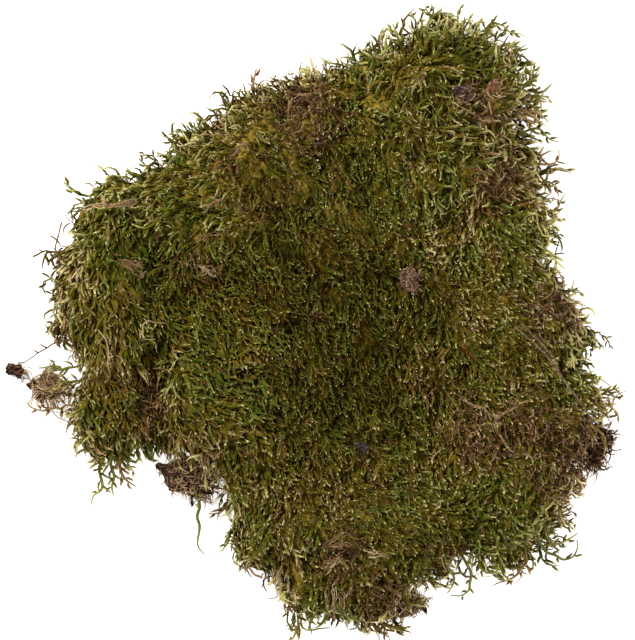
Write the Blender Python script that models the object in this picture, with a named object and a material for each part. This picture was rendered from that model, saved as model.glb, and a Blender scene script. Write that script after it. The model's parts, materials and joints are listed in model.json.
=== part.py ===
"""Moss clump: a torn-off sheet of feather moss lying flat, with the debris that is caught in it.

The frame has its origin under the middle of the clump, on the surface that it lies on. +Z is up,
and +Y is the end with the tall crown. Lengths in the tables are millimetres.
"""

import math
import random

import bmesh
import bpy
from mathutils import Matrix, Vector, noise
from mathutils.bvhtree import BVHTree
from mathutils.geometry import delaunay_2d_cdt

MM = 0.001

# ---- driving dimensions, in millimetres ----
RIM_HEIGHT = 4.5          # how thick the sheet still is at its torn edge
ROLL_WIDTH = 21.0         # how far in from the edge the sheet reaches its full thickness
TUFT_SPACING = 5.2        # distance between the lumps of the surface
EDGE_STEP = 5.0           # distance between the corners of the torn edge
LUMP_HEIGHT = 2.0         # how far a lump stands out of its hummock
SWELL_HEIGHT = 1.8        # slower rise and fall across a hummock
SWELL_LENGTH = 17.0
CLEFT_DEPTH = 8.0         # the fold that parts the left lobe from the rest
CLEFT_WIDTH = 5.5
FRINGE_LENGTH = (3.0, 6.5)
FRINGE_SHARE = 0.52       # how many of the edge's facets grow a fringe shoot
FIBRE_LENGTH = (3.0, 5.5)
SHOOT_LENGTH = (2.4, 4.0)
SHOOT_SHARE = 0.055       # how many of the surface's facets grow a standing shoot
GAP = 0.35                # air between two pieces that touch
LOWEST_STRAND = 0.6       # how far a loose strand stays above the surface under the clump
SEED = 7

# The torn edge, clockwise from the tip of the crown.
EDGE = [
    (41, 110), (47, 109), (58, 104), (69, 99), (76, 90), (78, 83), (76, 77), (74, 71), (74, 64),
    (79, 59), (80, 51), (84, 42), (87, 32), (84, 26), (85, 21), (90, 16), (96, 5), (99, -2),
    (103, -8), (98, -10), (93, -11), (96, -15), (101, -22), (104, -29), (105, -34), (101, -37),
    (95, -42), (92, -50), (97, -56), (92, -60), (94, -64), (90, -68), (89, -76), (82, -79),
    (76, -87), (68, -86), (58, -83), (50, -87), (44, -91), (42, -97), (32, -106), (19, -111),
    (5, -108), (-7, -108), (-14, -102), (-16, -95), (-23, -91), (-29, -86), (-31, -76),
    (-34, -68), (-42, -57), (-50, -50), (-59, -47), (-66, -48), (-71, -52), (-84, -50),
    (-89, -38), (-91, -31), (-88, -24), (-87, -14), (-95, -4), (-97, 4), (-96, 18), (-91, 26),
    (-86, 38), (-84, 45), (-77, 51), (-70, 50), (-65, 48), (-62, 54), (-53, 62), (-50, 66),
    (-41, 68), (-37, 73), (-22, 82), (-14, 86), (-5, 90), (8, 91), (20, 98), (28, 98),
    (33, 107), (37, 109),
]

# Hummocks: middle x, middle y, half length, half width, turn in degrees, height.
HUMMOCKS = {
    "left lobe": (-76, 2, 56, 24, 86, 20),
    "north-west shoulder": (-26, 48, 48, 34, 32, 24),
    "middle": (6, 0, 54, 46, 60, 28),
    "crown": (51, 72, 42, 36, 75, 27),
    "east slope": (66, 18, 44, 30, 95, 25),
    "south-east": (70, -50, 40, 34, 40, 24),
    "south": (8, -78, 44, 32, 5, 24),
    "south-west": (-28, -38, 42, 34, 110, 23),
}

CLEFT = [(-62, 52), (-59, 30), (-60, 8), (-57, -14), (-60, -32), (-58, -48)]

# Gaps where the mat is worn right through: x, y, radius at the bottom.
WORN_HOLES = [(-27.5, -40, 1.3), (-38.5, -45, 1.2), (-36, -47, 1.0), (-22.5, -42.5, 0.8)]

# Clods: middle x, y, half length, half width, height, turn, roughness, colour, loose fibres.
# A clod at the edge is let into the carpet. One on top of it lies in a dimple.
ROOT_CLODS = {
    "root_mass_notch": (-46.5, -57.5, 11.5, 6.5, 8.0, -24, 0.20, (0.10, 0.055, 0.035), 9),
    "root_mass_right": (100.5, -45.0, 10.0, 5.6, 7.5, 72, 0.20, (0.10, 0.065, 0.045), 8),
    "root_tuft_left": (-99.3, -23.5, 5.8, 5.2, 6.5, -12, 0.16, (0.16, 0.09, 0.05), 9),
    "fibre_patch_bottom": (33.5, -104.5, 6.2, 3.6, 7.0, 28, 0.14, (0.24, 0.12, 0.06), 4),
}
CRUMBS = {
    "soil_crumb_left": (-109.8, -18.5, 3.7, 2.3, 4.6, -28, 0.22, (0.07, 0.045, 0.035), 0),
    "soil_crumb_dark": (16.5, -46.0, 2.6, 2.2, 3.4, 20, 0.16, (0.05, 0.055, 0.07), 0),
    "bark_crumb": (52.5, 81.0, 4.6, 2.1, 2.8, -20, 0.18, (0.22, 0.14, 0.13), 0),
    "pale_crumb": (33.0, 14.0, 3.6, 4.2, 3.4, 10, 0.20, (0.42, 0.30, 0.25), 0),
    "leaf_scrap": (62.5, 82.5, 3.6, 2.0, 1.8, 60, 0.15, (0.42, 0.25, 0.16), 0),
}
ON_TOP = ("soil_crumb_dark", "bark_crumb", "pale_crumb", "leaf_scrap")

GREEN = (0.10, 0.17, 0.02)
YELLOW_GREEN = (0.26, 0.30, 0.05)
OCHRE = (0.32, 0.22, 0.06)
DEAD_BROWN = (0.22, 0.12, 0.06)
DEAD_PINK = (0.42, 0.26, 0.17)
PALE_TAN = (0.50, 0.40, 0.27)
DARK_BROWN = (0.07, 0.045, 0.035)

# Strands: colour, radius at the root, radius at the tip, twigs, and the route. A route point is
# x, y, z. Where z is left out, the strand rests on what is under it. Twigs: place along the strand
# from 0 to 1, side (+1 left, -1 right), length.
STRANDS = {
    "pine_needle_long": (DEAD_BROWN, 0.55, 0.4, [], [
        (70.5, -2.5), (81, -11.5), (90.5, -24), (95.5, -31), (100.5, -39)]),
    "pine_needle_short": (DEAD_BROWN, 0.5, 0.4, [], [
        (73, -1.5), (79.5, -7.5), (86, -14.5)]),
    "straw_forked": (PALE_TAN, 0.45, 0.4, [(0.3, -1, 4.0), (0.75, 1, 4.5)], [
        (70, -47.5), (67.5, -44.5), (65.5, -41), (63.5, -38), (64.5, -35), (68, -33), (72, -31)]),
    "straw_short": (DEAD_PINK, 0.55, 0.4, [(0.5, 1, 3.0)], [
        (51.5, -28), (55.5, -30.5), (59, -32.5), (62.5, -36)]),
    "green_stalk": (YELLOW_GREEN, 0.45, 0.4, [(0.35, -1, 4.0), (0.7, 1, 3.5)], [
        (72.5, -78), (77, -74), (80.5, -69.5), (84, -64.5), (88.5, -59)]),
    "rootlet_pale": (PALE_TAN, 0.4, 0.35, [(0.5, 1, 2.5)], [
        (-78, -4), (-76, -6), (-75, -9), (-74.5, -13), (-74.5, -16.5), (-73.5, -19.5)]),
    "rootlet_branched": (DEAD_BROWN, 0.45, 0.35, [(0.25, -1, 3.0), (0.5, 1, 3.0)], [
        (-54, -1.5), (-58, -1), (-61, -1.5), (-63.5, -3), (-63, -6.5), (-60.5, -7.5),
        (-58, -7.5)]),
    "dead_strand_left": (DEAD_PINK, 0.6, 1.0, [(0.4, 1, 3.0)], [
        (-85, 40), (-81, 40.5), (-76.5, 41), (-72.5, 41), (-69.5, 42), (-65.5, 43.5)]),
    "dead_tuft_west": (DEAD_PINK, 0.6, 1.0, [(0.3, 1, 3.0), (0.6, -1, 3.5)], [
        (-71.5, 21.5), (-68.5, 19.5), (-65.5, 18), (-62, 16.5)]),
    "dead_tuft_inner": (DEAD_PINK, 0.6, 1.0, [(0.3, -1, 3.5), (0.6, 1, 3.0)], [
        (-43.5, 20), (-41, 18), (-38.5, 16.5), (-36, 15.5)]),
    "dead_strand_north": (DEAD_PINK, 0.6, 0.7, [(0.6, -1, 2.5)], [
        (-42, 40), (-39, 41), (-36, 42.5), (-32.5, 43)]),
    "dead_strand_shoulder": (DEAD_PINK, 0.6, 0.7, [(0.5, 1, 2.5)], [
        (-32, 57.5), (-29.5, 59.5), (-27, 60.5), (-25, 62)]),
    "dead_stem_bottom_1": (DEAD_PINK, 0.55, 0.5, [], [
        (3, -94.5), (4, -99.5), (3.5, -104), (4, -109, 4.0)]),
    "dead_stem_bottom_2": (DEAD_PINK, 0.55, 0.5, [], [
        (5.5, -94), (6.5, -99.5), (6, -104), (6.5, -109.5, 4.0)]),
    "dead_stem_bottom_3": (DEAD_BROWN, 0.55, 0.5, [], [
        (8.2, -96.5), (9.2, -101), (8.5, -104.5), (9.5, -108, 4.5)]),
    "pale_fibre_upper": (PALE_TAN, 0.4, 0.35, [(0.4, -1, 3.0), (0.7, 1, 3.0)], [
        (1.5, -81.5), (5, -79.5), (9, -78.5), (13, -78.5)]),
    "pale_fibre_lower": (PALE_TAN, 0.4, 0.35, [(0.3, 1, 3.0), (0.6, -1, 3.0)], [
        (2, -88.5), (6.5, -86), (10.5, -86), (13, -89.5)]),
    "pink_strand": (DEAD_PINK, 0.5, 0.45, [(0.3, -1, 3.0)], [
        (15, -82.5), (18, -83), (22, -82.5), (25, -84), (25.5, -86.5)]),
    "loose_shoot_long": (YELLOW_GREEN, 0.5, 0.4, [], [
        (-45, -60), (-43, -64.5, 3.0), (-42.5, -67.5, 1.5), (-43.5, -71, 1.2),
        (-42.5, -74.5, 1.2), (-43, -78, 1.2), (-43.5, -81, 1.2), (-42.5, -83.5, 1.2),
        (-41, -85.5, 1.2)]),
    "curved_sprig": (YELLOW_GREEN, 0.7, 0.5, [(0.3, -1, 3.0), (0.5, 1, 2.5)], [
        (-77, -49), (-78, -54, 4.0), (-78.5, -58, 2.5), (-78.5, -61.5, 2.0), (-81, -64, 1.6),
        (-82, -67.5, 1.4)]),
    "feathered_sprig": (YELLOW_GREEN, 0.6, 0.45, [
        (0.55, 1, 2.6), (0.7, -1, 2.4), (0.85, 1, 2.4)], [
        (-74.2, -49), (-74.6, -54, 4.0), (-74.6, -58, 2.5), (-73.5, -60.5, 2.0),
        (-75, -63, 1.6)]),
    "brown_pointed_sprig": (DEAD_BROWN, 0.6, 0.8, [(0.6, -1, 2.5)], [
        (-71.5, -50), (-71, -54.5, 4.0), (-70, -58, 2.5), (-68, -60, 2.0), (-65.5, -60.5, 1.8)]),
    "twig_stem_left": (DEAD_BROWN, 0.45, 0.4, [(0.45, -1, 3.5), (0.7, -1, 3.5)], [
        (-89, -7.5), (-93.5, -8.5, 6.0), (-96.5, -9.5, 5.0), (-99.5, -12, 5.0),
        (-103, -14, 4.6), (-106.5, -16, 4.4)]),
    "sprig_left_upper": (GREEN, 0.7, 0.5, [(0.4, 1, 3.0), (0.6, -1, 3.0)], [
        (-85, -16.5), (-91.5, -18, 5.0), (-96, -17.5), (-101, -17.5)]),
    "sprig_left_lower": (YELLOW_GREEN, 0.7, 0.5, [(0.4, -1, 3.0)], [
        (-84, -21.5), (-90, -23, 5.0), (-93, -24.5), (-97.5, -26.5)]),
    "sprig_lower_left": (DEAD_BROWN, 0.7, 0.4, [(0.35, 1, 3.5), (0.6, 1, 3)], [
        (-87, -30.5), (-93.5, -32, 3.5), (-96.5, -32, 2.6), (-100.5, -33, 2.0),
        (-104, -32, 1.6), (-106.5, -29, 1.4)]),
    "dead_sprig_left": (DEAD_BROWN, 1.0, 0.4, [], [
        (-91, 22), (-94.5, 25.5, 5.0), (-94, 28.5, 4.5), (-93.5, 32, 4.0), (-92.5, 36, 3.5)]),
    "forked_stem_left": (GREEN, 0.45, 0.4, [(0.5, -1, 3.5), (0.75, 1, 2.5)], [
        (-84, 29.5), (-87.5, 31.5, 5.0), (-88.5, 34, 4.6), (-89, 36.5, 4.2), (-91.5, 40, 3.8)]),
    "orange_sprig_bottom": (OCHRE, 0.6, 0.45, [(0.6, 1, 2.5)], [
        (18, -99.5), (18.5, -105), (19.5, -111, 3.5), (18.5, -115, 1.6)]),
    "green_strand_bottom": (YELLOW_GREEN, 0.5, 0.4, [], [
        (0, -104), (-1.5, -108.5, 4.5), (-3.2, -112, 2.6), (1.5, -112.4, 1.8), (5, -112, 1.6)]),
    "curl_bottom": (GREEN, 0.55, 0.4, [(0.5, 1, 2.5)], [
        (11.5, -103), (13, -109, 4.5), (14.8, -111.6, 2.4), (12, -113.4, 1.6)]),
    "curled_sprig_south_1": (GREEN, 0.6, 0.45, [(0.5, -1, 3.0), (0.75, 1, 2.5)], [
        (51.5, -82), (54, -88, 4.5), (56.5, -93.5, 2.5), (56.5, -97.5, 2.0), (53, -100, 1.6),
        (49, -100.5, 1.4)]),
    "curled_sprig_south_2": (GREEN, 0.55, 0.45, [(0.6, 1, 2.5)], [
        (45.5, -84), (48, -91, 4.5), (50, -95.5, 2.4), (47.5, -99.5, 1.6)]),
    "curled_sprig_south_3": (YELLOW_GREEN, 0.55, 0.45, [(0.4, 1, 2.5)], [
        (58, -80), (57.8, -86.5, 4.5), (61, -91.5, 2.2), (65, -91.5, 1.8), (67.5, -89, 1.5)]),
    "brown_sprig_south": (OCHRE, 0.6, 0.5, [(0.35, -1, 2.5), (0.6, 1, 3.0), (0.8, -1, 2.5)], [
        (75.5, -83), (76.2, -88.5, 4.5), (74, -92, 2.4), (70.5, -94, 2.0), (67.5, -95.5, 1.8),
        (64, -97.5, 1.4)]),
    "curled_sprig_east_1": (GREEN, 0.6, 0.4, [(0.5, 1, 2.5)], [
        (78.5, -77), (82.5, -83, 4.0), (85.5, -86, 2.4), (89.5, -87.2, 2.0), (93, -86.3, 1.8),
        (95, -83.5, 1.6), (95, -80, 1.4)]),
    "curled_sprig_east_2": (YELLOW_GREEN, 0.6, 0.4, [(0.6, -1, 3.0)], [
        (82, -74.5), (84.5, -81, 4.5), (88.5, -80.8, 3.0), (92, -79.5, 2.4), (95.5, -77.5, 2.0)]),
    "dead_sprig_right": (DEAD_BROWN, 0.7, 0.5, [(0.45, 1, 4.0), (0.65, 1, 3.5)], [
        (101.5, -37), (106.5, -33, 6.0), (109.5, -29, 4.5), (112, -27, 4.0), (113.5, -25.5, 3.6)]),
    "stray_right_1": (YELLOW_GREEN, 0.5, 0.4, [(0.5, -1, 2.5)], [
        (74, 83), (78, 87.5, 5.0), (79, 91, 4.0), (81.5, 90, 3.0)]),
    "stray_right_2": (YELLOW_GREEN, 0.5, 0.4, [(0.6, 1, 2.5)], [
        (73.5, 78.5), (79.5, 76.5, 5.0), (81.5, 73, 3.6), (84.5, 72, 3.0)]),
    "stray_right_3": (YELLOW_GREEN, 0.5, 0.4, [(0.5, 1, 2.5), (0.7, -1, 2.5)], [
        (72.5, 67), (79, 69, 5.0), (83.5, 67, 3.6), (88, 65, 3.0)]),
    "stray_right_4": (YELLOW_GREEN, 0.5, 0.4, [(0.6, -1, 2.5)], [
        (81, 37), (86, 40, 5.0), (88.5, 42.5, 4.0), (90.5, 45.5, 3.5)]),
    "yellow_sprig_right": (YELLOW_GREEN, 0.7, 0.45, [(0.5, 1, 2.5)], [
        (79.5, 47.5), (84.5, 50, 5.0), (87, 47.8, 3.4), (88.3, 44.5, 2.6)]),
    "bud_sprig_right": (OCHRE, 0.4, 0.7, [(0.75, -1, 3.5)], [
        (76, 55.5), (81, 56, 6.0), (85.5, 56.5, 4.4), (88, 58.5, 3.8), (88, 62, 3.4)]),
    "dark_twig_right": (DARK_BROWN, 0.5, 0.4, [(0.6, -1, 3.0), (0.75, 1, 2.0)], [
        (82.5, 18.5), (86.5, 23.5, 5.0), (88.2, 26, 4.2), (88, 28.5, 3.6)]),
    "top_curl_left": (GREEN, 0.5, 0.4, [(0.7, 1, 2.0)], [
        (32, 97.5), (29, 103, 5.5), (27, 106, 4.2), (24.5, 105.5, 3.4), (23, 103, 2.8)]),
    "top_curl_right": (YELLOW_GREEN, 0.5, 0.4, [(0.45, 1, 2.5), (0.7, -1, 2.5)], [
        (59, 100.5), (62.5, 106, 5.5), (65.5, 107, 4.4), (69.5, 105.8, 3.8), (73.5, 104, 3.4),
        (77, 102.5, 3.0)]),
    "stray_top": (YELLOW_GREEN, 0.5, 0.4, [(0.6, 1, 2.5)], [
        (41.5, 107.5), (41, 112, 5.5), (40, 113.7, 4.6), (39.5, 115, 4.0)]),
}
FRINGE_FREE = 15.0        # no fringe grows this near to the middle of a clod at the edge
FIBRE_FREE = 4.5          # no clod's fibre ends this near to the carpet or to a crumb
STRAND_SIDES = 4
STRAND_STEP = 3.6         # length of one straight piece of a strand

random.seed(SEED)


# ---- small geometry helpers, in millimetres ----
def flat_distance(point, start, end):
    """Distance in the plane from a point to the line between two others."""
    span = end - start
    along = max(0.0, min(1.0, (point - start).dot(span) / span.length_squared))
    return (point - start - span * along).length


def distance_to_line(point, line, closed=False):
    ends = line[1:] + line[:1] if closed else line[1:]
    return min(flat_distance(point, start, end) for start, end in zip(line, ends))


def is_inside(point, outline):
    """Whether a point lies inside a closed outline: a ray to +X crosses it an odd number of times."""
    inside = False
    for start, end in zip(outline, outline[1:] + outline[:1]):
        if (start.y > point.y) != (end.y > point.y):
            crossing = start.x + (point.y - start.y) * (end.x - start.x) / (end.y - start.y)
            inside ^= crossing > point.x
    return inside


def smooth_curve(points, steps, closed=False):
    """A Catmull-Rom curve through the points, with a number of steps from one to the next."""
    count = len(points)
    curve = []
    for i in range(count if closed else count - 1):
        if closed:
            a, b, c, d = (points[(i + k) % count] for k in (-1, 0, 1, 2))
        else:
            a, b, c, d = (points[max(0, min(count - 1, i + k))] for k in (-1, 0, 1, 2))
        for step in range(steps):
            t = step / steps
            curve.append(0.5 * (2 * b + (c - a) * t + (2 * a - 5 * b + 4 * c - d) * t * t
                                + (3 * b - a - 3 * c + d) * t ** 3))
    if not closed:
        curve.append(points[-1].copy())
    return curve


def evenly_spaced(line, spacing, closed=False):
    """The line again, with points at equal distances."""
    ends = line + line[:1] if closed else line
    total = sum((b - a).length for a, b in zip(ends, ends[1:]))
    count = max(2, round(total / spacing))
    step = total / count
    spaced = []
    walked = 0.0
    for a, b in zip(ends, ends[1:]):
        length = (b - a).length
        while len(spaced) * step <= walked + length and len(spaced) <= count:
            spaced.append(a.lerp(b, (len(spaced) * step - walked) / length) if length else a)
        walked += length
    if closed:
        return spaced[:count]
    return spaced[:count] + [line[-1].copy()]


# ---- the carpet ----
def ridge_height(x, y):
    """Thickness of the mat away from its edge: a soft maximum of the hummocks, parted by the cleft."""
    total = 0.0
    for middle_x, middle_y, half_length, half_width, turn, height in HUMMOCKS.values():
        turned = Matrix.Rotation(-math.radians(turn), 2) @ Vector((x - middle_x, y - middle_y))
        reach = (turned.x / half_length) ** 2 + (turned.y / half_width) ** 2
        total += max(0.0, height * (1.0 - 0.42 * reach)) ** 7
    height = max(13.0, total ** (1 / 7))
    here = Vector((x, y))
    cleft = distance_to_line(here, [Vector(p) for p in CLEFT])
    height -= CLEFT_DEPTH * math.exp(-((cleft / CLEFT_WIDTH) ** 2))
    height += SWELL_HEIGHT * noise.noise(Vector((x, y, 3.0)) / SWELL_LENGTH) * 2
    for name in ON_TOP:
        crumb_x, crumb_y, half_length, half_width, depth = CRUMBS[name][:5]
        away = (here - Vector((crumb_x, crumb_y))).length / max(half_length, half_width)
        height -= 0.55 * depth * math.exp(-(away ** 4) / 3)
    return height


def surface_height(x, y, edge_distance):
    """Height of the mat's top, which rolls down to the rim at the torn edge."""
    inward = min(1.0, edge_distance / ROLL_WIDTH)
    roll = math.sqrt(1.0 - (1.0 - inward) ** 2)
    return RIM_HEIGHT + (ridge_height(x, y) - RIM_HEIGHT) * roll


def tuft_points(edge):
    """Places of the surface's lumps: a hexagonal grid, shaken, inside the edge."""
    points = []
    row_gap = TUFT_SPACING * math.sqrt(3) / 2
    for row in range(-26, 27):
        for column in range(-24, 25):
            shake = Vector((random.uniform(-1, 1), random.uniform(-1, 1))) * 0.24
            grid = Vector((column + 0.5 * (row % 2), row * row_gap / TUFT_SPACING))
            point = (grid + shake) * TUFT_SPACING
            if is_inside(point, edge):
                margin = distance_to_line(point, edge, closed=True)
                if margin > 0.55 * TUFT_SPACING:
                    points.append((point, margin))
    return points


def draw_out(bm, face, heading, length, steps, taper, bend):
    """Draws one facet out into a shoot that narrows and bends, and stays fused to its body."""
    for _ in range(steps):
        face = bmesh.ops.extrude_discrete_faces(bm, faces=[face])["faces"][0]
        heading = (heading + bend).normalized()
        middle = face.calc_center_median()
        for vert in face.verts:
            vert.co = middle + (vert.co - middle) * taper + heading * (length / steps)
    return face


def carpet_mesh():
    """The sheet of moss: rough top, torn wall with its fringe, flat underside."""
    outline = smooth_curve([Vector(point) for point in EDGE], 4, closed=True)
    edge = evenly_spaced(outline, EDGE_STEP, closed=True)
    tufts = tuft_points(edge)
    flat = edge + [point for point, _ in tufts]
    _, _, top_faces, *_ = delaunay_2d_cdt(flat, [], [list(range(len(edge)))], 1, 1e-5)
    _, _, under_faces, *_ = delaunay_2d_cdt(edge, [], [list(range(len(edge)))], 1, 1e-5)

    bm = bmesh.new()
    top = [bm.verts.new((p.x, p.y, RIM_HEIGHT + random.uniform(-1, 1))) for p in edge]
    for point, margin in tufts:
        lump = LUMP_HEIGHT * random.uniform(-1, 1)
        top.append(bm.verts.new((point.x, point.y, surface_height(*point, margin) + lump)))
    under = [bm.verts.new((p.x, p.y, 0.0)) for p in edge]
    surface = [bm.faces.new([top[i] for i in face]) for face in top_faces]
    for face in under_faces:
        bm.faces.new([under[i] for i in reversed(face)])
    count = len(edge)
    wall = []
    for i in range(count):
        after = (i + 1) % count
        wall.append(bm.faces.new((top[i], under[i], under[after], top[after])))
    bmesh.ops.recalc_face_normals(bm, faces=bm.faces)

    clods = [Vector((clod[0], clod[1])) for clod in ROOT_CLODS.values()]
    for face in wall:
        middle = face.calc_center_median()
        near = min((middle.xy - clod).length for clod in clods)
        if random.random() < FRINGE_SHARE and near > FRINGE_FREE:
            side = random.uniform(-0.5, 0.5)
            outward = Vector((face.normal.x, face.normal.y, random.uniform(0.0, 0.35)))
            heading = outward + side * outward.cross(Vector((0, 0, 1)))
            bend = Vector((0, 0, random.uniform(-0.15, 0.1))) - 0.3 * side * heading
            draw_out(bm, face, heading, random.uniform(*FRINGE_LENGTH), 2, 0.5, bend)
    for face in surface:
        if random.random() < SHOOT_SHARE:
            lean = Vector((random.uniform(-1, 1), random.uniform(-1, 1), 0)) * 0.6
            length = random.uniform(*SHOOT_LENGTH)
            draw_out(bm, face, face.normal + lean, length, 1, 0.15, lean * 0.3)
    return bm


# ---- clods ----
def clod_mesh(spec, floor=0.0):
    """A rough lump with a flat underside, with loose fibres drawn out of its lower flank."""
    x, y, half_length, half_width, height, turn, roughness, _, fibres = spec
    bm = bmesh.new()
    bmesh.ops.create_icosphere(bm, subdivisions=2, radius=1.0)
    place = (Matrix.Translation((x, y, floor + 0.4 * height))
             @ Matrix.Rotation(math.radians(turn), 4, "Z")
             @ Matrix.Diagonal((half_length, half_width, 0.6 * height, 1)))
    offset = Vector((x, y, 0)) * 0.37
    for vert in bm.verts:
        vert.co *= 1.0 + roughness * 2.2 * noise.noise(vert.co * 1.9 + offset)
    bmesh.ops.transform(bm, matrix=place, verts=bm.verts)
    for vert in bm.verts:
        vert.co.z = max(vert.co.z, floor)
    bmesh.ops.recalc_face_normals(bm, faces=bm.faces)
    return bm, fibres


def draw_fibres(bm, middle, count):
    """Draws fibres out of the flank of a clod, where they stay clear of the carpet."""
    edge = [Vector(point) for point in EDGE]
    crumbs = [Vector(spec[:2]) for spec in CRUMBS.values()]
    flank = [face for face in bm.faces
             if abs(face.normal.z) < 0.75 and face.calc_center_median().z > 1.6]
    random.shuffle(flank)
    for face in flank:
        start = face.calc_center_median()
        outward = (start - middle).normalized()
        outward.z = random.uniform(-0.1, 0.25)
        bend = Vector((random.uniform(-1, 1), random.uniform(-1, 1), 0)) * 0.3
        length = random.uniform(*FIBRE_LENGTH)
        tip = (start + outward * length).xy
        free = min((tip - crumb).length for crumb in crumbs) > FIBRE_FREE
        free = free and distance_to_line(tip, edge, closed=True) > FIBRE_FREE
        if count and free and not is_inside(tip, edge):
            draw_out(bm, face, outward, length, 2, 0.42, bend)
            count -= 1


# ---- strands ----
def support_below(point, reach, trees):
    """Height of the highest thing under a point or within reach of it."""
    highest = 0.0
    for ring, spokes in ((0.0, 1), (0.55 * reach, 5), (reach, 8)):
        for spoke in range(spokes):
            angle = math.tau * spoke / spokes
            above = Vector((point.x + ring * math.cos(angle), point.y + ring * math.sin(angle),
                            80.0))
            for tree in trees:
                hit = tree.ray_cast(above, Vector((0, 0, -1)))[0]
                if hit:
                    highest = max(highest, hit.z)
    return highest


def settled(route, radius, trees):
    """The strand's centre line, laid over what carries it like a limp thread."""
    points = []
    for spot in route:
        point = Vector((spot[0], spot[1], 0.0))
        if len(spot) == 3:
            point.z = spot[2]
        else:
            point.z = support_below(point, radius, trees) + radius + GAP
        points.append(point)
    line = evenly_spaced(smooth_curve(points, 6), STRAND_STEP)
    reach = 1.25 * radius + GAP + 0.15
    lowest = [max(support_below(p, reach, trees) + radius + GAP + 0.12, radius + LOWEST_STRAND)
              for p in line]
    for _ in range(24):
        for i, point in enumerate(line):
            if 0 < i < len(line) - 1:
                point.z = 0.5 * point.z + 0.25 * (line[i - 1].z + line[i + 1].z)
            point.z = max(point.z, lowest[i])
    return line


def strand_mesh(line, root_radius, tip_radius, twigs):
    """A tapering tube along the line, with twigs drawn out of its side facets."""
    bm = bmesh.new()
    rings = []
    for i, point in enumerate(line):
        tangent = (line[min(i + 1, len(line) - 1)] - line[max(i - 1, 0)]).normalized()
        side = tangent.cross(Vector((0, 0, 1))).normalized()
        lift = side.cross(tangent)
        along = i / (len(line) - 1)
        radius = root_radius + (tip_radius - root_radius) * along
        if 0 < i < len(line) - 1:
            radius *= 1.15
        ring = []
        for corner in range(STRAND_SIDES):
            angle = math.tau * (corner + 0.5) / STRAND_SIDES
            ring.append(bm.verts.new(point + radius * (math.cos(angle) * side
                                                       + math.sin(angle) * lift)))
        rings.append(ring)
    facets = []
    for ring, after in zip(rings, rings[1:]):
        facets.append([bm.faces.new((ring[k], ring[(k + 1) % STRAND_SIDES],
                                     after[(k + 1) % STRAND_SIDES], after[k]))
                       for k in range(STRAND_SIDES)])
    bm.faces.new(list(reversed(rings[0])))
    bm.faces.new(rings[-1])
    bmesh.ops.recalc_face_normals(bm, faces=bm.faces)
    for place, hand, length in twigs:
        span = min(len(facets) - 1, int(place * len(facets)))
        tangent = (line[span + 1] - line[span]).normalized()
        side = hand * Vector((0, 0, 1)).cross(tangent).normalized()
        face = max(facets[span], key=lambda f: f.normal.dot(side) if f.is_valid else -2)
        heading = side + 0.6 * tangent + Vector((0, 0, 0.35))
        draw_out(bm, face, heading, length, 2, 0.6, 0.3 * tangent)
    return bm


# ---- objects ----
def add_object(name, bm, colour, roughness):
    """Makes the object in metres, flat shaded where it is faceted, with a material of its own."""
    bmesh.ops.triangulate(bm, faces=bm.faces)
    bmesh.ops.scale(bm, vec=Vector((MM, MM, MM)), verts=bm.verts)
    mesh = bpy.data.meshes.new(name)
    bm.to_mesh(mesh)
    bm.free()
    material = bpy.data.materials.new(name)
    material.use_nodes = True
    shader = material.node_tree.nodes["Principled BSDF"]
    shader.inputs["Base Color"].default_value = (*colour, 1.0)
    shader.inputs["Roughness"].default_value = roughness
    mesh.materials.append(material)
    obj = bpy.data.objects.new(name, mesh)
    bpy.context.scene.collection.objects.link(obj)
    return obj


def cut_away(obj, cutter_bm, name):
    """Takes the cutter's shape out of an object, for good."""
    cutter = add_object(name, cutter_bm, DARK_BROWN, 1.0)
    cutter.hide_render = True
    cutter.display_type = "WIRE"
    cut = obj.modifiers.new(name, "BOOLEAN")
    cut.operation = "DIFFERENCE"
    cut.object = cutter
    graph = bpy.context.evaluated_depsgraph_get()
    result = bpy.data.meshes.new_from_object(obj.evaluated_get(graph))
    obj.modifiers.clear()
    old = obj.data
    obj.data = result
    bpy.data.meshes.remove(old)
    bpy.data.objects.remove(cutter)


def tree_of(obj):
    """A search tree of an object's facets, in millimetres."""
    points = [vert.co / MM for vert in obj.data.vertices]
    return BVHTree.FromPolygons(points, [face.vertices[:] for face in obj.data.polygons])


def worn_hole_cutter(x, y, radius):
    bm = bmesh.new()
    bmesh.ops.create_cone(bm, cap_ends=True, segments=6, radius1=radius, radius2=radius * 2.2,
                          depth=44, matrix=Matrix.Translation((x, y, 20)))
    return bm


def build_carpet():
    carpet = add_object("moss_carpet", carpet_mesh(), GREEN, 0.8)
    for number, hole in enumerate(WORN_HOLES):
        cut_away(carpet, worn_hole_cutter(*hole), f"worn_hole_{number}")
    return carpet


def build_root_clods(carpet):
    """Clods at the torn edge, each let into the carpet with a little air round it."""
    clods = []
    for name, spec in ROOT_CLODS.items():
        bm, fibres = clod_mesh(spec)
        pocket = bm.copy()
        pocket.normal_update()
        for vert in pocket.verts:
            spread = Vector((vert.normal.x, vert.normal.y, max(vert.normal.z, -0.6)))
            vert.co += spread.normalized() * GAP * 1.3
        cut_away(carpet, pocket, f"{name}_pocket")
        middle = Vector((spec[0], spec[1], 3.0))
        draw_fibres(bm, middle, fibres)
        clods.append(add_object(name, bm, spec[7], 0.9))
    return clods


def build_crumbs(trees):
    """Crumbs of soil, bark and leaf, each resting on what is under it."""
    crumbs = []
    for name, spec in CRUMBS.items():
        spot = Vector((spec[0], spec[1], 0.0))
        floor = 0.0
        if name in ON_TOP:
            floor = support_below(spot, 0.85 * max(spec[2], spec[3]), trees) + GAP
        bm, _ = clod_mesh(spec, floor)
        crumbs.append(add_object(name, bm, spec[7], 0.9))
    return crumbs


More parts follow.
